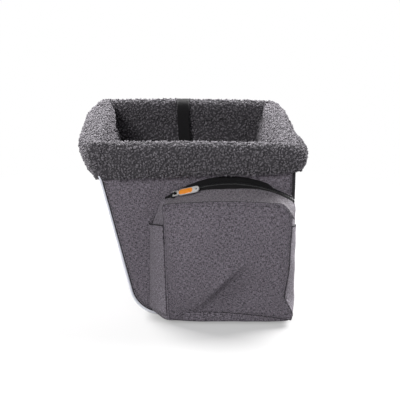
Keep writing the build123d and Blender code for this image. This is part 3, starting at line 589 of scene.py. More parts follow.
def along_lines(name, lines, shape, spacing, finish):
    """Repeats a small shape along lines of (places, outward), or at the places with no spacing."""
    places = [spaced(line, spacing) if spacing else np.asarray(line, float) for line, _ in lines]
    mesh = bpy.data.meshes.new(name + "_points")
    mesh.from_pydata((np.concatenate(places) * MM).tolist(), [], [])
    ways = [np.gradient(line, axis=0) for line in places]
    outs = [np.broadcast_to(np.asarray(out, float), line.shape) for line, (_, out) in zip(places, lines)]
    for key, vectors in (("way", ways), ("out", outs)):
        values = mesh.attributes.new(key, "FLOAT_VECTOR", "POINT")
        values.data.foreach_set("vector", unit(np.concatenate(vectors)).astype(np.float32).reshape(-1))
    growth = Growth(name + "_growth", Shape_size=1.0)
    kind = {"data_type": "FLOAT_VECTOR"}
    way, out = (growth.add("GeometryNodeInputNamedAttribute", kind, key) for key in ("way", "out"))
    aim = growth.add("FunctionNodeAxesToRotation", {"primary_axis": "X", "secondary_axis": "Z"}, way, out)
    put = growth.repeat(growth.inlet, shape, aim, growth.inlet.other("Shape size"))
    return growth.grow(name, mesh, put, finish)


# Camera and studio, set first so that every piece is judged against the photograph
YAW, PITCH, ROLL = 0.0342045, 0.2425426, 0.0156561
PHOTO_FOCUS, PHOTO_WIDTH, SENSOR = 1209.785, 400, 36
ahead = Vector((-math.cos(YAW) * math.cos(PITCH), math.sin(YAW) * math.cos(PITCH), -math.sin(PITCH)))
level = ahead.cross(Vector((0, 0, 1))).normalized()
above = level.cross(ahead)
sideways = level * math.cos(ROLL) + above * math.sin(ROLL)
upwards = above * math.cos(ROLL) - level * math.sin(ROLL)
lens = bpy.data.cameras.new("photo_camera")
lens.sensor_width = SENSOR
lens.lens = SENSOR * PHOTO_FOCUS / PHOTO_WIDTH
camera = added("photo_camera", lens)
turned = Matrix((sideways, upwards, -ahead)).transposed().to_4x4()
camera.matrix_world = Matrix.Translation((1.96795, -0.05032, 0.61911)) @ turned
bpy.context.scene.camera = camera
bpy.context.scene.view_settings.view_transform = "Standard"

WHITE = (1, 1, 1, 1)
FLOOR_GLOW = 0.36


def softbox(name, place, target_height, width, height, power):
    light = bpy.data.lights.new(name, "AREA")
    light.shape = "RECTANGLE"
    light.size, light.size_y = width, height
    light.energy = power
    lamp = added(name, light)
    lamp.location = place
    aim = Vector((0, 0, target_height)) - Vector(place)
    lamp.rotation_euler = aim.to_track_quat("-Z", "Y").to_euler()


def studio():
    """White floor that keeps the shadow, white surroundings and soft side lights."""
    world = bpy.data.worlds.new("studio")
    bpy.context.scene.world = world
    world.use_nodes = True
    sky = Nodes(world.node_tree)
    ray = sky.add("ShaderNodeLightPath", out="Is Camera Ray")
    clamped = {"operation": "ADD", "use_clamp": True}
    seen = sky.add("ShaderNodeMath", clamped, ray, ray.other("Is Glossy Ray"))
    ambient = sky.add("ShaderNodeBackground", {}, (0.95, 0.97, 1.0, 1.0), 0.36)
    backdrop = sky.add("ShaderNodeBackground", {}, WHITE, 1.0)
    sky.add("ShaderNodeOutputWorld", {}, sky.add("ShaderNodeMixShader", {}, seen, ambient, backdrop))

    mesh = bpy.data.meshes.new("floor")
    mesh.from_pydata([(-6, -6, 0), (6, -6, 0), (6, 6, 0), (-6, 6, 0)], [], [(0, 1, 2, 3)])
    paper = bpy.data.materials.new("white_floor")
    paper.use_nodes = True
    floor = Nodes(paper.node_tree)
    matt = floor.add("ShaderNodeBsdfDiffuse", {}, (0.30, 0.297, 0.297, 1))
    lit = floor.add("ShaderNodeAddShader", {}, matt, floor.add("ShaderNodeEmission", {}, WHITE, FLOOR_GLOW))
    bounce = floor.add("ShaderNodeBsdfDiffuse", {}, (0.24, 0.235, 0.24, 1))
    white = floor.add("ShaderNodeEmission", {}, WHITE, 1.0)
    place = floor.add("ShaderNodeTexCoord", out="Object")
    distance = floor.add("ShaderNodeVectorMath", {"operation": "LENGTH"}, place, out="Value")
    far = floor.add("ShaderNodeMapRange", {"interpolation_type": "SMOOTHSTEP"}, distance, 0.34, 0.86)
    fade = floor.add("ShaderNodeMixShader", {}, far, lit, white)
    ray = floor.add("ShaderNodeLightPath", out="Is Camera Ray")
    floor.add("ShaderNodeOutputMaterial", {}, floor.add("ShaderNodeMixShader", {}, ray, bounce, fade))
    mesh.materials.append(paper)
    laid = added("floor", mesh)
    laid.location.z = -0.0004

    softbox("front_side_light", (-1.5, -1.8, 1.35), 0.22, 1.3, 1.7, 250.0)
    softbox("back_side_light", (-1.3, 1.5, 1.8), 0.22, 1.9, 1.6, 235.0)
    softbox("fill_light", (2.25, -1.2, 1.5), 0.12, 0.8, 0.8, 46.0)


studio()


# Walls of the shell
def front_profile(inset, steps=16, end_y=BACK_Y, top=WALL_TOP):
    """Side view of the front: down the slope, round the corner and back along the floor."""

    def slope_at(z):
        return np.array([-BACK_Y + SLANT_RUN * (RIM_HEIGHT - z) / RIM_HEIGHT + inset / math.cos(SLANT), z])

    radius = FRONT_CORNER - inset
    up_slope = np.array([-math.sin(SLANT), math.cos(SLANT)])
    start = slope_at(inset) + up_slope * radius / math.tan((math.pi / 2 + SLANT) / 2)
    centre = start + radius * np.array([math.cos(SLANT), math.sin(SLANT)])
    first = slope_at(top)
    line = [first + (start - first) * share for share in (0, 0.25, 0.5, 0.75)]
    for k in range(steps + 1):
        a = math.pi + SLANT + (math.pi / 2 - SLANT) * k / steps
        line.append(centre + radius * np.array([math.cos(a), math.sin(a)]))
    return np.array(line + [np.array([end_y, inset])])


def front_rows(profile, half, columns, swell):
    """Rows of a sheet that runs down the front and along the floor, lifted outwards by swell."""
    rows = []
    for (y, z), (dy, dz) in zip(profile, unit(np.gradient(profile, axis=0))):
        lifts = [(x, swell(x, y, z)) for x in np.linspace(-half, half, columns)]
        rows.append([(x, y + dz * lift, z - dy * lift) for x, lift in lifts])
    return rows


EDGE = 3.2
starts, heights = front_profile(EDGE, 24)[::-1].T
level_part = heights < EDGE + 0.01
floor_start = starts[level_part].min()
low_levels = EDGE + 50 * np.linspace(0, 1, 14) ** 1.8
rows = []
for z in [*low_levels, *np.arange(EDGE + 56, WALL_TOP, 6.0), WALL_TOP]:
    y0 = np.interp(z, heights[~level_part], starts[~level_part]) if z > EDGE + 0.01 else floor_start
    row = []
    for t in np.linspace(0, 1, 48):
        y = y0 + (BACK_Y - EDGE - y0) * t
        row.append((SIDE_X + 0.9 * math.sin(math.pi * t) ** 0.4 * wobble(y, z, SIDE_X, 38.0, 2.0), y, z))
    rows.append(row)
mirrored(sheet("side_panel_left", rows, 1.5, flip=True), "shell_side")

panel_half = HALF_WIDTH - 3.6


def front_swell(x, y, z):
    """Unevenness of the front, which lies flat on the floor."""
    return 0.7 * wobble(x, y, z, 42.0, 5.0) if z > 4 else 0.0


profile = spaced(front_profile(0.4, 20, BACK_Y - 2), 7.0)
rows = front_rows(profile, panel_half, 56, front_swell)
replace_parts(sheet("front_and_floor_panel", rows, 1.4), "shell_wrap")

widths = np.linspace(-panel_half, panel_half, 60)
rows = [
    [(x, BACK_Y - 0.3 + 0.6 * wobble(x, z, 9, 42.0, 8.0), z) for x in widths]
    for z in np.linspace(1.0, WALL_TOP, 40)
]
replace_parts(sheet("back_panel", rows, 1.3, flip=True), "shell_back")

# Piping along the front edge, the corner and the floor, and cords in the back corners
line = at_x(HALF_WIDTH - 1.9, spaced(front_profile(2.0, 20, BACK_Y - 3.6), 5.0))
mirrored(tube("reflective_piping_left", line, 2.0, SILVER, wave=0.05), "piping")
line = at_x(SIDE_X + 0.05, spaced(front_profile(4.6, 20, BACK_Y - 4.4), 5.0))
mirrored(tube("piping_seam_left", line, 0.75, BINDING, sides=8, wave=0.1))
line = [(HALF_WIDTH - 2, BACK_Y - 2, z) for z in np.linspace(0.6, WALL_TOP - 1, 60)]
cord = tube("back_cord_left", line, 2.0, BINDING, wave=0.06)
mirrored(cord)
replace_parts(cord, "back_corner_cords")


# Hem that carries the rim's wire
def even_ring(out):
    """Rim's rounded rectangle at an offset, with the same count of points round it at every offset."""
    radius = max(4.0, 11.0 + out * 0.42)
    half_x, half_y = RING_X + out - radius, RING_HALF + out - radius
    arcs = []
    for index, (sign_x, sign_y) in enumerate(((1, 1), (-1, 1), (-1, -1), (1, -1))):
        angles = np.radians(90.0 * index + np.linspace(0, 90, 9))
        centre = np.array([sign_x * half_x, RING_MIDDLE + sign_y * half_y])
        arcs.append(centre + radius * np.column_stack([np.cos(angles), np.sin(angles)]))
    ring = []
    for index, arc in enumerate(arcs):
        at = np.linspace(0, 8, 10, endpoint=False)
        ring += [(np.interp(k, range(9), arc[:, 0]), np.interp(k, range(9), arc[:, 1])) for k in at]
        following = arcs[(index + 1) % 4][0]
        shares = np.linspace(0, 1, 36 if index % 2 else 50, endpoint=False)
        ring += [tuple(arc[-1] + (following - arc[-1]) * t) for t in shares]
    return np.array(ring)


HEM = ((4.0, -3.0), (4.0, 0.2), (2.6, 3.0), (0.0, 3.9), (-2.6, 3.0), (-4.0, 0.2), (-4.0, -3.0))
rings = [[(x, y, WIRE_Z + height) for x, y in even_ring(out)] for out, height in HEM]
hem = thicken(grid("rim_hem_cloth", np.swapaxes(np.array(rings), 0, 1), HEATHER, around=True), 1.2, 1.0)
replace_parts(hem, "rim_hem")


# Fleece rim: one continuous roll that folds over the hem and hangs outside. It hangs lower at the
# front, and its two ends are fatter in the middle than at the corners, where the fold draws it in
HANG = ((0.0, 0.17, 0.42, 0.67, 1.0), (23.5, 28.0, 29.0, 32.5, 38.5))
FRONT_BULGE = ((0, 110, 150, 199), (10.0, 10.0, 5.0, -6.0))
BACK_BULGE = ((-199, -120, -20, 45, 130, 165, 199), (-1.0, 3.5, 3.0, 0.0, 6.0, 5.0, -1.0))
ROLL_INSIDE = [(-9.6, -16.0), (-11.2, -10.0), (-12.6, -3.0), (-13.0, 4.0), (-11.4, 10.5), (-6.8, 15.8)]
ROLL_OUTSIDE = [(0.0, 18.0), (7.4, 16.4), (13.2, 11.0), (16.2, 4.5), (16.8, -3.0), (16.2, -11.0)]
ROLL_EDGE = [(14.6, -19.0), (12.0, -26.5), (8.2, -29.0), (5.2, -26.0)]
# Half the gap inside the roll that the hem takes up, how far the section hangs, and the run of the
# rim's sides, from the front back, over which they come to lean with the front wall
HEM_HALF = 4.9
SECTION_HANG = 28.0
LEAN_RUN = 75.0
ROLL_HEM = [(HEM_HALF, -12.0), (HEM_HALF, 1.0), (0.0, 5.0), (-HEM_HALF, 1.0), (-HEM_HALF, -12.0)]


def rim_surface():
    """Closed section swept round the rim, which leans with the front wall and hangs unevenly."""
    section = np.array(ROLL_INSIDE + ROLL_OUTSIDE + ROLL_EDGE + ROLL_HEM)
    eased = smoothed(section, 1)
    eased[0] = section[0]
    eased[-1] = section[-1] * 0.5 + (section[-2] + section[0]) * 0.25
    wire = even_ring(0.0)
    away = (even_ring(10.0) - wire) / 10.0
    rings = []
    for out, height in spaced(eased, 3.2, closed=True):
        ring = []
        for (x, y), (dx, dy) in zip(wire, away):
            up = height
            if out > 4.0 and height < 0:
                hang = np.interp((RING_BACK - y) / (RING_BACK - RING_FRONT), *HANG)
                up *= (hang + 1.6 * wobble(x, y, 0, 45.0, 3.0)) / SECTION_HANG
            reach = out * (1.0 + 0.07 * wobble(x, y, height, 34.0, 1.0))
            if out > 4.0:
                if abs(dy) > 0.5:
                    fatness = np.interp(abs(x), *FRONT_BULGE) if dy < 0 else np.interp(x, *BACK_BULGE)
                    reach += fatness * min(1.0, (out - 4.0) / 8.0)
                corner = hump(abs(x), RING_X, 40.0) * hump(y, RING_FRONT, 45.0)
                reach -= (reach - HEM_HALF) * 0.42 * corner * min(1.0, max(0.0, 4.0 - height) / 20.0)
            elif out < -HEM_HALF and abs(dy) > 0.5:
                reach -= (4.0 if dy < 0 else 5.0) * np.interp(abs(x), (0, 150, 192), (1, 0.9, 0))
            slide = step_up(RING_FRONT + LEAN_RUN - y, 0, LEAN_RUN) * math.tan(SLANT) * up
            lift = up - 0.6 * reach * math.sin(SLANT) * max(0.0, -dy)
            rise = 2.2 * (1 - ((y - RING_MIDDLE) / RING_HALF) ** 4) if height > 8 else 0.0
            rise += 0.8 * wobble(x, y, 0, 80.0, 4.0)
            ring.append((x + dx * reach, y + dy * reach - slide, WIRE_Z + lift + rise))
        rings.append(ring)
    return np.swapaxes(np.array(rings), 0, 1)


rim = upright(grid("fleece_rim", rim_surface(), FLEECE, around=True, closed=True))
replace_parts(rim, "cuff_front", "cuff_back", "cuff_side_left", "cuff_side_right")


def part_of(made, keep):
    """Copy of the faces of a mesh whose middle, in millimetres, and outward direction pass a test."""
    work = bmesh.new()
    work.from_mesh(made.data)
    gone = [f for f in work.faces if not keep(f.calc_center_median() * 1000, f.normal)]
    bmesh.ops.delete(work, geom=gone, context="FACES")
    mesh = bpy.data.meshes.new(made.name + "_carrier")
    work.to_mesh(mesh)
    work.free()
    return mesh


def shows(place):
    """Whether a place on the roll is on its showing side, not against the hem."""
    front = RING_FRONT + (WIRE_Z - place.z) * math.tan(SLANT)
    out = max(abs(place.x) - RING_X, place.y - RING_BACK, front - place.y)
    return abs(out) > 5.6 or place.z > WIRE_Z + 6


# Spacing and size of the curls on the rim and on the lining
RIM_PILE = 2.7, 1.95
LINING_PILE = 3.3, 2.2
RIM_QUARTERS = ("left", "front"), ("left", "back"), ("right", "front"), ("right", "back")
for seed, (side, end) in enumerate(RIM_QUARTERS, 11):
    on_left, at_back = side == "left", end == "back"
    quarter = part_of(rim, lambda p, n: shows(p) and (p.x >= 0) == on_left and (p.y >= 0) == at_back)
    curls(f"rim_curls_{side}_{end}", quarter, *RIM_PILE, seed)


# Lining of the walls, softly uneven, and the floor pad
def lumpy(x, y, z, seed):
    return 1.3 * wobble(x, y, z, 30.0, seed)


LINING_TOP = 238.0
LINING = {"thickness": 5.0, "finish": FLEECE}
levels = np.linspace(14.0, LINING_TOP, 34)
widths = np.linspace(-188.0, 188.0, 50)
side_y, side_z = front_profile(13.2, 16, top=LINING_TOP)[::-1].T
rows = [
    [(190.6 - lumpy(190, y, z, 21), y, z) for y in np.linspace(np.interp(z, side_z, side_y), 140.5, 40)]
    for z in levels
]
lining_left = sheet("lining_left", rows, **LINING)
mirrored(lining_left, "lining_side")
profile = spaced(front_profile(12.2, 16, -56.0, LINING_TOP), 7.0)
rows = front_rows(profile, widths[-1], len(widths), lambda x, y, z: -lumpy(x, y, z, 23))
lining_front = sheet("lining_front_sheet", rows, flip=True, **LINING)
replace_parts(lining_front, "lining_front")
rows = [[(x, 141.6 - lumpy(x, 140, z, 25) - 15.0 * hump(z, 200, 56), z) for x in widths] for z in levels]
lining_back = sheet("lining_back_sheet", rows, flip=True, **LINING)
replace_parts(lining_back, "lining_back")


def floor_pad():
    """Crowned pad whose sides draw in between its corners and which lies flat below."""
    low, high = (np.array(corner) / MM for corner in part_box("floor_pad"))
    (mid_x, mid_y), (half_x, half_y) = (low + high)[:2] / 2, (high - low)[:2] / 2 - 2.5
    base, top = low[2] + 0.4, high[2] - 2.6
    shoulder = (top - 7.0 - base) * 0.8
    rings = []
    for k in range(19):
        if k < 7:
            spread = 1.0 - 0.030 * (k / 3 - 1) ** 2
            height = shoulder * k / 6
        else:
            spread = (18 - k) / 11 * 0.965
            height = shoulder + (top - base - shoulder) * (1 - spread**2.6) ** 0.8
        ring = []
        for cosine, sine in circle(96):
            ux, uy = (math.copysign(abs(v) ** 0.28, v) for v in (cosine, sine))
            draw = spread * (1 - 0.012 * (1 - abs(ux * uy)))
            x, y = mid_x + half_x * ux * draw, mid_y + half_y * uy * draw
            lump = 0.9 * wobble(x, y, 0, 42.0, 6.0) if k > 6 else 0.0
            ring.append((x, y, base + max(0.0, height + lump)))
        rings.append(ring)
    rings[-1] = [np.mean(rings[-1], axis=0)] * 96
    below = np.mean(rings[0], axis=0)
    rings = [[below] * 96, below + (np.array(rings[0]) - below) * 0.5] + rings
    return upright(grid("floor_pad_cover", rings, FLEECE, closed=True, flip=True))


pad = floor_pad()
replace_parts(pad, "floor_pad")

for name, made, test, seed in (
    ("lining_curls_left", lining_left, lambda p, n: True, 31),
    ("lining_curls_right", bpy.data.objects["lining_right"], lambda p, n: True, 32),
    ("lining_curls_front", lining_front, lambda p, n: p.z > 16, 33),
    ("lining_curls_back", lining_back, lambda p, n: True, 34),
    ("pad_curls", pad, lambda p, n: n.z > 0.1, 35),
):
    curls(name, part_of(made, test), *LINING_PILE, seed)


# Cargo pocket: a soft bag whose sections run from the side panel out to the face
POCKET_DEPTH = POCKET_X - SIDE_X
POCKET_BOTTOM = 7.0
POCKET_RISE = 6.0 * math.tan(ZIP_SLOPE)
# Distance from the panel, radius and top of the arch, and where the back edge stands
ARCHES = (
    (0.0, 148.0, 218.0, 148.0),
    (5.0, ZIP_RADIUS + POCKET_RISE, 209.5 + POCKET_RISE, 151.0),
    (17.0, ZIP_RADIUS - POCKET_RISE, 209.5 - POCKET_RISE, 151.0),
    (POCKET_DEPTH, 900.0, 189.5, 142.0),
)
ARCH_OUTS = [a[0] for a in ARCHES]


def arch_at(y, out):
    """Height of the pocket's top at a distance from the panel."""
    tops = []
    for _, radius, top, _ in ARCHES:
        tops.append(top - radius + math.sqrt(max(0.0, radius**2 - (y - ZIP_Y) ** 2)))
    return float(np.interp(out, ARCH_OUTS, tops))


def line_between(first, last, count):
    """Evenly spaced points from the first up to, and not including, the last."""
    first, last = np.asarray(first, float), np.asarray(last, float)
    return [first + (last - first) * k / count for k in range(count)]


# Points along the pocket's front, shoulder, arch, back and bottom, and where each begins
COUNTS = (26, 5, 45, 34, 44)
STARTS = np.concatenate([[0], np.cumsum(COUNTS)])


def pocket_outline(out):
    """Outline of the pocket at a distance from the panel."""
    share = out / POCKET_DEPTH
    front = -63.0 + 21.0 * share
    shoulder_y = -50.0 + 10.0 * share
    shoulder_z = 142.0 + 18.0 * share
    back = np.interp(out, ARCH_OUTS, [a[3] for a in ARCHES])
    points = line_between((front, POCKET_BOTTOM), (front, shoulder_z), COUNTS[0])
    points += line_between((front, shoulder_z), (shoulder_y, arch_at(shoulder_y, out)), COUNTS[1])
    for k in range(COUNTS[2]):
        y = shoulder_y + (back - shoulder_y) * k / COUNTS[2]
        points.append(np.array([y, arch_at(y, out)]))
    points += line_between((back, arch_at(back, out)), (back, POCKET_BOTTOM), COUNTS[3])
    points += line_between((back, POCKET_BOTTOM), (front, POCKET_BOTTOM), COUNTS[4])
    return np.array(points)


def seam_climb(y):
    """Rise of the seam between the face and the bottom, which climbs out of a corner tuck."""
    return step_up(y, -34, -9) * (17.0 - 9.4 * max(0.0, (y + 9.0) / 159.0))


# The face's two upright edges by height, which a full bag pulls out of line
FACE_FRONT = ((7.0, 60.0, 110.0, 165.0, 186.0), (-35.0, -38.0, -40.5, -43.5, -48.0))
FACE_BACK = (
    (7.0, 19.0, 42.0, 85.0, 136.0, 165.0, 187.0),
    (149.0, 148.5, 134.5, 140.5, 142.3, 143.5, 143.0),
)
# Shares of the pocket's depth at which its sides have points, closer together near the face
SHARES = np.array([0, 4, 10, 17, 25, 34, 43, 52, 61, 70, 78, 85, 90, 94, 97, 100]) / 100


def corner_drop(y):
    """Fall of the arch's back corner."""
    return 12.0 * max(0.0, (y - 130.0) / 12.0) ** 1.4


def pocket_skin():
    """Points of the bag's sides by share of its depth and place round the outline."""
    skin = []
    for share in SHARES:
        ring = smoothed(pocket_outline(share * POCKET_DEPTH), 2)
        ahead = unit(np.roll(ring, -1, 0) - np.roll(ring, 1, 0))
        bulge = math.sin(math.pi * share) ** 0.7
        pull = share**3
        row = []
        for index, ((y, z), (ahead_y, ahead_z)) in enumerate(zip(ring, ahead)):
            x = SIDE_X + share * POCKET_DEPTH
            on_top = STARTS[1] <= index < STARTS[3]
            puff = 0.0 if on_top else bulge * (1.8 + 1.5 * wobble(x, y, z, 24.0, 2.0))
            y -= ahead_z * puff
            z += ahead_y * puff
            if index <= STARTS[2]:
                y += (np.interp(z, *FACE_FRONT) + 42.0) * pull
            elif index < STARTS[3]:
                y -= 6.0 * max(0.0, 1 - (index - STARTS[2]) / 7.0) * pull
                z -= corner_drop(y) * pull
            elif index < STARTS[4]:
                y += (np.interp(z, *FACE_BACK) - 142.0) * pull
                z -= 12.0 * max(0.0, (z - 150.0) / 36.0) * pull
            else:
                across = (index - STARTS[4]) / COUNTS[4]
                y += 7.0 * (max(0.0, 1 - 5 * across) + max(0.0, 5 * across - 4)) * pull
                middle = math.sin(math.pi * across) ** 0.35
                roll_up = max(0.0, (share - 0.85) / 0.15)
                depth = min(1.0, share / 0.85) ** 0.9
                x = SIDE_X + POCKET_DEPTH * (share * (1 - middle) + depth * middle) - 2.2 * middle * roll_up
                z += (seam_climb(y) * roll_up**1.6 - 2.0 * math.sin(math.pi * share)) * middle
            row.append((x, y, max(0.8, z)))
        skin.append(row)
    return np.array(skin)


skin = pocket_skin()
gusset_columns = [*range(STARTS[3] - 1, STARTS[-1]), *range(STARTS[2] + 3)]
mirrored(sheet("pocket_gusset_sheet_left", skin[:, gusset_columns], 1.5), "pocket_gusset")

# Zip tape and the cloth between it and the face, by distance out from the panel along the zip
TAPE_PLACES = (-42.0, -30.0, -20.0, -10.0, 0.0, 20.0, 40.0, 60.0, 80.0, 100.0, 118.0, 150.0)
TAPE_LIMITS = (10.0, 13.0, 14.0, 16.5, 19.0, 21.0, 23.0, 22.7, 20.5, 17.2, 16.2, 15.8)
tape_rows, strip_rows, cover_rows = [], [], []
for y in np.linspace(-42.0, 147.5, 96):
    limit = np.interp(y, TAPE_PLACES, TAPE_LIMITS)
    inner = 6.6 * step_up(y, 112, 121)
    tape_rows.append([(SIDE_X + out, y, arch_at(y, out)) for out in np.linspace(inner, limit, 15)])
    if y > 110:
        cover = np.linspace(0.0, inner + 0.4, 6)
        cover_rows.append([(SIDE_X + out, y, arch_at(y, out) + 0.7) for out in cover])
    row = []
    for share in np.linspace(0, 1, 14):
        out = limit - 0.8 + (POCKET_DEPTH - limit + 0.8) * share
        hold = math.sin(math.pi * share)
        sag = (-1.6 + 1.0 * wobble(out, y, 0, 24.0, 9.0)) * hold
        fold = 2.6 * hump(y, 112 + out * 0.35, 6.0) * hold
        end = step_up(y, -38, -26) * (1 - step_up(y, 136, 146))
        pull = (out / POCKET_DEPTH) ** 3
        shift = -6.0 * max(0.0, 1 - (y + 40.0) / 28.0) * pull
        z = arch_at(y, out) - corner_drop(y) * pull + (sag + fold) * end + 0.7 * (1 - share) ** 4
        row.append((SIDE_X + out, y + shift, z))
    strip_rows.append(row)
mirrored(sheet("zip_end_cover_left", cover_rows, 1.0))
mirrored(sheet("zip_tape_sheet_left", tape_rows, 1.1, TAPE), "zip_tape")
mirrored(sheet("pocket_top_sheet_left", strip_rows, 1.3, HEATHER_STRIP_SHADED), "pocket_top_strip")


# The large fold of the face: where it starts, the way it runs up and back, the height of its ridge
# and how deep the cloth falls behind it
FOLD_Y, FOLD_Z = -9.0, 24.0
FOLD_BACK, FOLD_UP = 0.749, 0.663
FOLD_RIDGE, FOLD_FALL = 8.0, 21.0
FOLD_WIDTH = 42.0


def face_points(rows=76, columns=80):
    """Face panel between its four edges, full and creased by the bag's weight."""
    edge = skin[-1]
    left = resampled(edge[: STARTS[1] + 1], rows)
    upper = resampled(edge[STARTS[1] : STARTS[3] + 1], columns)
    right = resampled(edge[STARTS[3] : STARTS[4] + 1][::-1], rows)
    lower = resampled(np.vstack([edge[STARTS[4] :], edge[:1]])[::-1], columns)
    points = np.zeros((rows, columns, 3))
    for i, v in enumerate(np.linspace(0, 1, rows)):
        for j, u in enumerate(np.linspace(0, 1, columns)):
            below = (1 - u) * lower[0] + u * lower[-1]
            above = (1 - u) * upper[0] + u * upper[-1]
            across = (1 - u) * left[i] + u * right[i]
            x, y, z = across + (1 - v) * (lower[j] - below) + v * (upper[j] - above)
            hold = max(0.0, math.sin(math.pi * u) * math.sin(math.pi * v)) ** 0.62 if u * v < 1 else 0.0
            full = 4.5 * hump(z, 112, 62) + 1.2 + 4.5 * hump(y, -8, 50) - 3.0 * step_up(y, 60, 135)
            along = (y - FOLD_Y) * FOLD_BACK + (z - FOLD_Z) * FOLD_UP
            beside = (y - FOLD_Y) * FOLD_UP - (z - FOLD_Z) * FOLD_BACK - 6.0 * (1 - step_up(along, 20, 90))
            reach = step_up(along, -6, 10) * (1 - step_up(along, 60, 130))
            if beside < 0:
                fold = FOLD_RIDGE * math.exp(beside / 26.0)
            else:
                fall = 0.5 * step_up(beside, 0, 10) + 0.5 * step_up(beside, 2, FOLD_WIDTH)
                fold = FOLD_RIDGE - FOLD_FALL * fall
                fold *= math.exp(-max(0.0, beside - FOLD_WIDTH) / 45.0)
            sweep = 2.0 * hump(y, 0.55 * (186.0 - z) - 40.0, 11.0) * step_up(z, 90, 130)
            tuck = 2.2 * hump(y, 131.0 - 0.3 * (z - 42.0), 6.0) * (1 - step_up(z, 50, 120))
            ruffle = 1.5 * wobble(y, z, 3, 46.0, 4.0) + 0.7 * wobble(y, z, 3, 19.0, 5.0)
            pucker = 0.5 * math.sin(y / 2.6) * math.exp(-(1 - v) * 16)
            points[i, j] = (x + (full + fold * reach + ruffle + sweep - tuck + pucker) * hold, y, z)
    return points


face_grid = face_points()
mirrored(sheet("pocket_face_sheet_left", face_grid, 1.4, flip=True), "pocket_face")

# Turned seam round the face, dark cords along its top, right and lower edges as painted shade in the seam's
# groove, and the seam that joins the pocket to the panel
edge_ring = skin[-1]
edge_ahead = unit(np.roll(edge_ring, -1, 0) - np.roll(edge_ring, 1, 0))
edge_out = np.column_stack([np.zeros(len(edge_ring)), -edge_ahead[:, 2], edge_ahead[:, 1]])
line = spaced(edge_ring + edge_out * 0.4 + np.array([0.5, 0, 0]), 3.0, closed=True)
mirrored(tube("pocket_face_seam_left", line, 1.05, HEATHER, closed=True, sides=8, wave=0.15))
# Dark cords laid in the seam's groove: painted shade, not a part of the cloth
for place, offset, forward, first, last, radius in (
    ("top", 1.5, 0.1, STARTS[1] - 6, STARTS[3] + 40, 0.6),
    ("right", 1.5, -0.2, STARTS[3] + 30, STARTS[4] + 1, 0.35),
    ("under", 1.6, 0.2, STARTS[4] + 1, STARTS[5] - 8, 0.75),
):
    line = (edge_ring + edge_out * offset + np.array([forward, 0, 0]))[first : last + 1]
    mirrored(tube(f"pocket_{place}_groove_left", spaced(line, 3.0), radius, BINDING, sides=6))
line = spaced(skin[0], 5.0, closed=True)
mirrored(tube("pocket_base_seam_left", line, 0.9, BINDING, closed=True, sides=8, wave=0.15))


# Slip pockets on the gusset's sides, open at the top with a turned hem
def slip_sheet(name, columns, lean, full):
    """Patch laid on the gusset, which stands away at its mouth; lean is its outward way along Y."""
    order = np.array(columns)[np.argsort(skin[8, columns, 2])]
    rows = []
    for z in np.linspace(14.0, 143.0, 34):
        mouth = max(0.0, (z - 100.0) / 43.0)
        row = []
        for share, side in list(zip(SHARES, skin[:, order]))[1:-1]:
            place_z = z + mouth * 9.0 * share
            x, y = (np.interp(place_z, side[:, 2], side[:, axis]) for axis in (0, 1))
            gape = 1.2 + (full * mouth**3 + 0.5 * wobble(x, y, z, 26.0, 7.0)) * math.sin(math.pi * share)
            row.append((x, y + lean * gape, place_z))
        rows.append(row)
    mirrored(sheet(f"{name}_sheet_left", rows, 1.2, flip=lean > 0), name)
    mouth_line = np.array(rows[-1]) + np.array([0, lean * 0.3, 0.4])
    mirrored(tube(f"{name}_sheet_hem_left", spaced(mouth_line, 3.0), 1.15, HEATHER, sides=8, wave=0.1))
    # A dark cord just above the hem: painted shade of the gap at the pocket's mouth
    shade_line = spaced(mouth_line + np.array([0.5, lean * 0.4, 1.7]), 3.0)
    mirrored(tube(f"{name}_sheet_mouth_left", shade_line, 0.95, BINDING, sides=6))
    stitched = np.array(rows[-3]) + np.array([0, lean * 0.35, 0])
    return stitched, (0, lean, 0)


slip_front = slip_sheet("slip_pocket_front", list(range(1, STARTS[1])), -1, 6.5)
slip_back = slip_sheet("slip_pocket_back", list(range(STARTS[3] + 1, STARTS[4])), 1, 0.0)


# Zip: coil teeth across the tape's middle, and rows of stitches beside it
COIL_ENDS = (0.478, -0.5175)


def zip_place(angle, across=0.0, lift=0.0):
    """Point on the tape at an angle from the arch's top, with its ways out of and across the tape."""
    cosine, sine = math.cos(angle), math.sin(angle)
    out = np.array([math.sin(ZIP_SLOPE), -math.cos(ZIP_SLOPE) * sine, math.cos(ZIP_SLOPE) * cosine])
    side = np.cross(out, (0.0, cosine, sine))
    place = np.array([ZIP_X, ZIP_Y - ZIP_RADIUS * sine, ZIP_Z + ZIP_RADIUS * cosine])
    return place + side * across + out * lift, out, side


def zip_row(name, across, lift, shape, spacing, finish, ends):
    """Repeats a small shape along the zip, across its tape by a distance."""
    count = int((ends[0] - ends[1]) * ZIP_RADIUS / spacing)
    places, outs, _ = zip(*(zip_place(a, across, lift) for a in np.linspace(*ends, count)))
    return along_lines(name, [(places, outs)], shape, None, finish)


mirrored(zip_row("zip_teeth_left", 0.0, 0.1, COIL_TURN, 1.25, COIL, COIL_ENDS), "zip_coil")
for place, across in (("inner", -7.6), ("outer", 7.6)):
    name = f"zip_stitches_{place}_left"
    mirrored(zip_row(name, across, 0.15, STITCH_SMALL, 2.6, ZIP_THREAD, (0.50, -0.50)))
for name, angle in (("front", 0.5190), ("back", -0.5215)):
    place, _, side = zip_place(angle, 0.0, 0.9)
    line = [place + side * across for across in (-2.6, -1.2, 0, 1.2, 2.6)]
    mirrored(tube(f"zip_stop_{name}_left", line, 1.0, COIL, sides=10))


PLATE_FROM_HINGE = 20.0


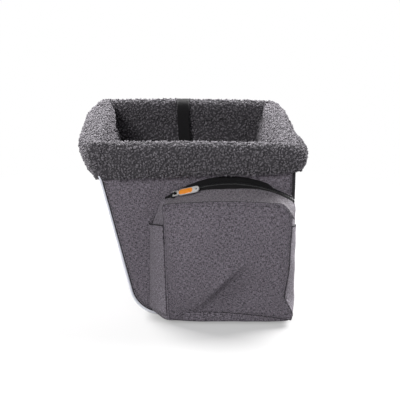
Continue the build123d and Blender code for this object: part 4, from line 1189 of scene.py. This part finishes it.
def enamel(name, sign):
    """Thin raised plate with round ends, let into one face of the pull's tab."""
    joint = next(j for j in frame["joints"] if j["name"] == "zip_left_pull_flip")
    origin = np.array(joint["pos_m"]) / MM
    hinge = np.array(joint["axis"])
    tape_out = zip_place(math.atan2(ZIP_Y - origin[1], origin[2] - ZIP_Z))[1]
    along = np.cross(tape_out, hinge)
    along *= math.copysign(1.0, along[1])
    half_length, half_width, corner = 10.75, 4.8, 3.8
    outline = []
    for cx, start in ((half_length - corner, -90), (corner - half_length, 90)):
        for a in np.radians(start + np.linspace(0, 180, 13)):
            px, py = corner * math.cos(a), corner * math.sin(a)
            outline.append((cx + px, math.copysign(abs(py) + (half_width - corner), py)))
    rings = []
    for inset, lift in ((0.0, 0.80), (0.0, 1.05), (0.35, 1.22), (1.4, 1.3), (4.0, 1.32)):
        narrow, thin = 1 - inset / half_length, 1 - inset / half_width
        centre = origin + along * PLATE_FROM_HINGE + tape_out * sign * lift
        rings.append([centre + along * a * narrow + hinge * b * thin for a, b in outline])
    return upright(grid(name, capped(rings), ENAMEL, "zip_pull_left", closed=True))


for name, sign in (("upper", 1), ("under", -1)):
    mirrored(enamel(f"pull_enamel_{name}_left", sign), body="zip_pull_right")


# Straps of webbing at the back, with their buckles: heights, widths and the buckle's two bars
STRAP_HEIGHT, STEM_HEIGHT = 170.0, 44.0
STRAP_WIDTH, TETHER_WIDTH, WEB_THICKNESS = 25.0, 21.0, 1.4
SOCKET_BAR, PLUG_BAR = (27.0, 1), (-14.0, -1)
ACROSS, UP, BACKWARDS = (1, 0, 0), (0, 0, 1), (0, 1, 0)


def web_line(bar, way, end):
    """Side view of a web: flat to the panel, up to the buckle's bar, round it and back."""
    loop = [(5, 1.0), (2.5, 2.6), (-2.5, 2.6), (-2.5, 7.6), (2.5, 7.6), (10, 2.7), (19, 2.7)]
    points = [(end, 1.0)] + [(bar + way * along, out) for along, out in loop]
    return spaced(rounded(points, [2, 2, 2.4, 2.4, 2, 2]), 1.6)


def box_stitch(name, centre, along, across, out, length, width):
    """Square of stitches with a cross in it, where a web is sewn down."""
    a, b = np.array(along) * length / 2, np.array(across) * width / 2
    corners = [np.array(centre) + place for place in (-a - b, a - b, a + b, b - a)]
    pairs = ((0, 1), (1, 2), (2, 3), (3, 0), (0, 2), (1, 3))
    lines = [(np.array([corners[first], corners[last]]), out) for first, last in pairs]
    along_lines(name, lines, STITCH_SMALL, 2.5, THREAD_BLACK)


def strap(name, path, across):
    """Web on the back, which stands for the solid of the same name."""
    made = ribbon(name + "_strap", np.array(path), across, STRAP_WIDTH, WEB_THICKNESS)
    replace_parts(made, name + "_web")
    return made


def upright_web(x, bar, end):
    """Line of a handlebar strap's web at an x."""
    return [(x, BACK_Y + out, STRAP_HEIGHT + up) for up, out in web_line(*bar, end)]


def level_web(bar, end):
    """Line of a web of the stem strap."""
    return [(x, BACK_Y + out, STEM_HEIGHT) for x, out in web_line(*bar, end)]


SEWN_Y = BACK_Y + 1.75
for side, x in (("left", 80.0), ("right", -80.0)):
    name = f"bar_strap_{side}"
    strap(name + "_upper", upright_web(x, SOCKET_BAR, 66.0), ACROSS)
    lower = strap(name + "_lower", upright_web(x, PLUG_BAR, -66.0), ACROSS)
    name + "_release"
    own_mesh(lower)
    box_stitch(name + "_foot_stitches", (x, SEWN_Y, 110.5), UP, ACROSS, BACKWARDS, 11, 19)
    box_stitch(name + "_top_stitches", (x, SEWN_Y, 228.0), UP, ACROSS, BACKWARDS, 12, 19)

strap("stem_strap_left", level_web(SOCKET_BAR, 92.0), UP)
slack = strap("stem_strap_right", level_web(PLUG_BAR, -92.0), UP)
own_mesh(slack)
box_stitch("stem_strap_left_stitches", (83.5, SEWN_Y, STEM_HEIGHT), ACROSS, UP, BACKWARDS, 13, 19)
box_stitch("stem_strap_right_stitches", (-85.0, SEWN_Y, STEM_HEIGHT), ACROSS, UP, BACKWARDS, 10, 19)

# Tether over the right side of the rim, whose lower end turns round the snap's eye
OVER_RIM = [(202.5, 243.0), (202.5, 219.1), (219.25, 219.1), (219.25, 270.3), (178.85, 270.3)]
ROUND_EYE = [(178.85, 125.0), (172.85, 125.0), (172.85, 131.0), (177.15, 138.0), (177.15, 147.0)]
path = []
for a, b in spaced(rounded(OVER_RIM + ROUND_EYE, [2, 5, 19.6, 19.6, 2.9, 2.9, 2, 2], 10), 1.8):
    slip = min(1.0, max(0.0, (b - 150.0) / 90.0)) if a < 215.0 else 1.0
    path.append((-a, -5.0 - 4.5 * slip * slip, b))
tether = ribbon("tether_strap", np.array(path), BACKWARDS, TETHER_WIDTH, WEB_THICKNESS)
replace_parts(tether, "tether_web")
box_stitch("tether_stitches", (-176.4, -5.0, 141.5), UP, BACKWARDS, ACROSS, 9, 15)

# Spring inside the snap's barrel
SPRING_TURNS = 5
turns = [(2 * math.pi * SPRING_TURNS * t, 88.4 + 11.6 * t) for t in np.linspace(0, 1, 121)]
helix = [(-175.85 + 1.9 * math.cos(a), 2.0 + 1.9 * math.sin(a), z) for a, z in turns]
spring = tube("snap_spring_coil", helix, 0.3, NICKEL, "tether_snap", sides=6)
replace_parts(spring, "tether_snap_spring")
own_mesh(spring)

for name, node in frame["nodes"].items():
    for key, material in HARD_FINISHES.items():
        if key in name and not node.hide_render:
            node.data.materials.clear()
            node.data.materials.append(material)

# Stitches along the shell's and the pocket's seams
line_x = SIDE_X + 0.25
slant_line = at_x(line_x, front_profile(7.4, 20, BACK_Y - 8))
back_line = [(line_x, BACK_Y - 6.5, z) for z in (9.0, 216.0)]
lines = [(line, ACROSS) for line in (slant_line, back_line)]
mirrored(along_lines("panel_stitches_left", lines, STITCH, 4.0, THREAD))

slope = front_profile(-0.1, 20, 110.0)
slope = slope[slope[:, 1] > 3.0]
seam_places = (HALF_WIDTH - 9.0, 9.0 - HALF_WIDTH)
lines = [(at_x(x, slope), (0, -1, 0.3)) for x in seam_places]
lines += [([(x, BACK_Y + 0.05, z) for z in (8.0, 226.0)], BACKWARDS) for x in seam_places]
along_lines("front_and_back_stitches", lines, STITCH, 4.0, THREAD)

lines = [(face_grid[-3, 2:-2] + np.array([0.25, 0, 0]), ACROSS), slip_front, slip_back]
mirrored(along_lines("pocket_stitches_left", lines, STITCH, 3.8, THREAD))
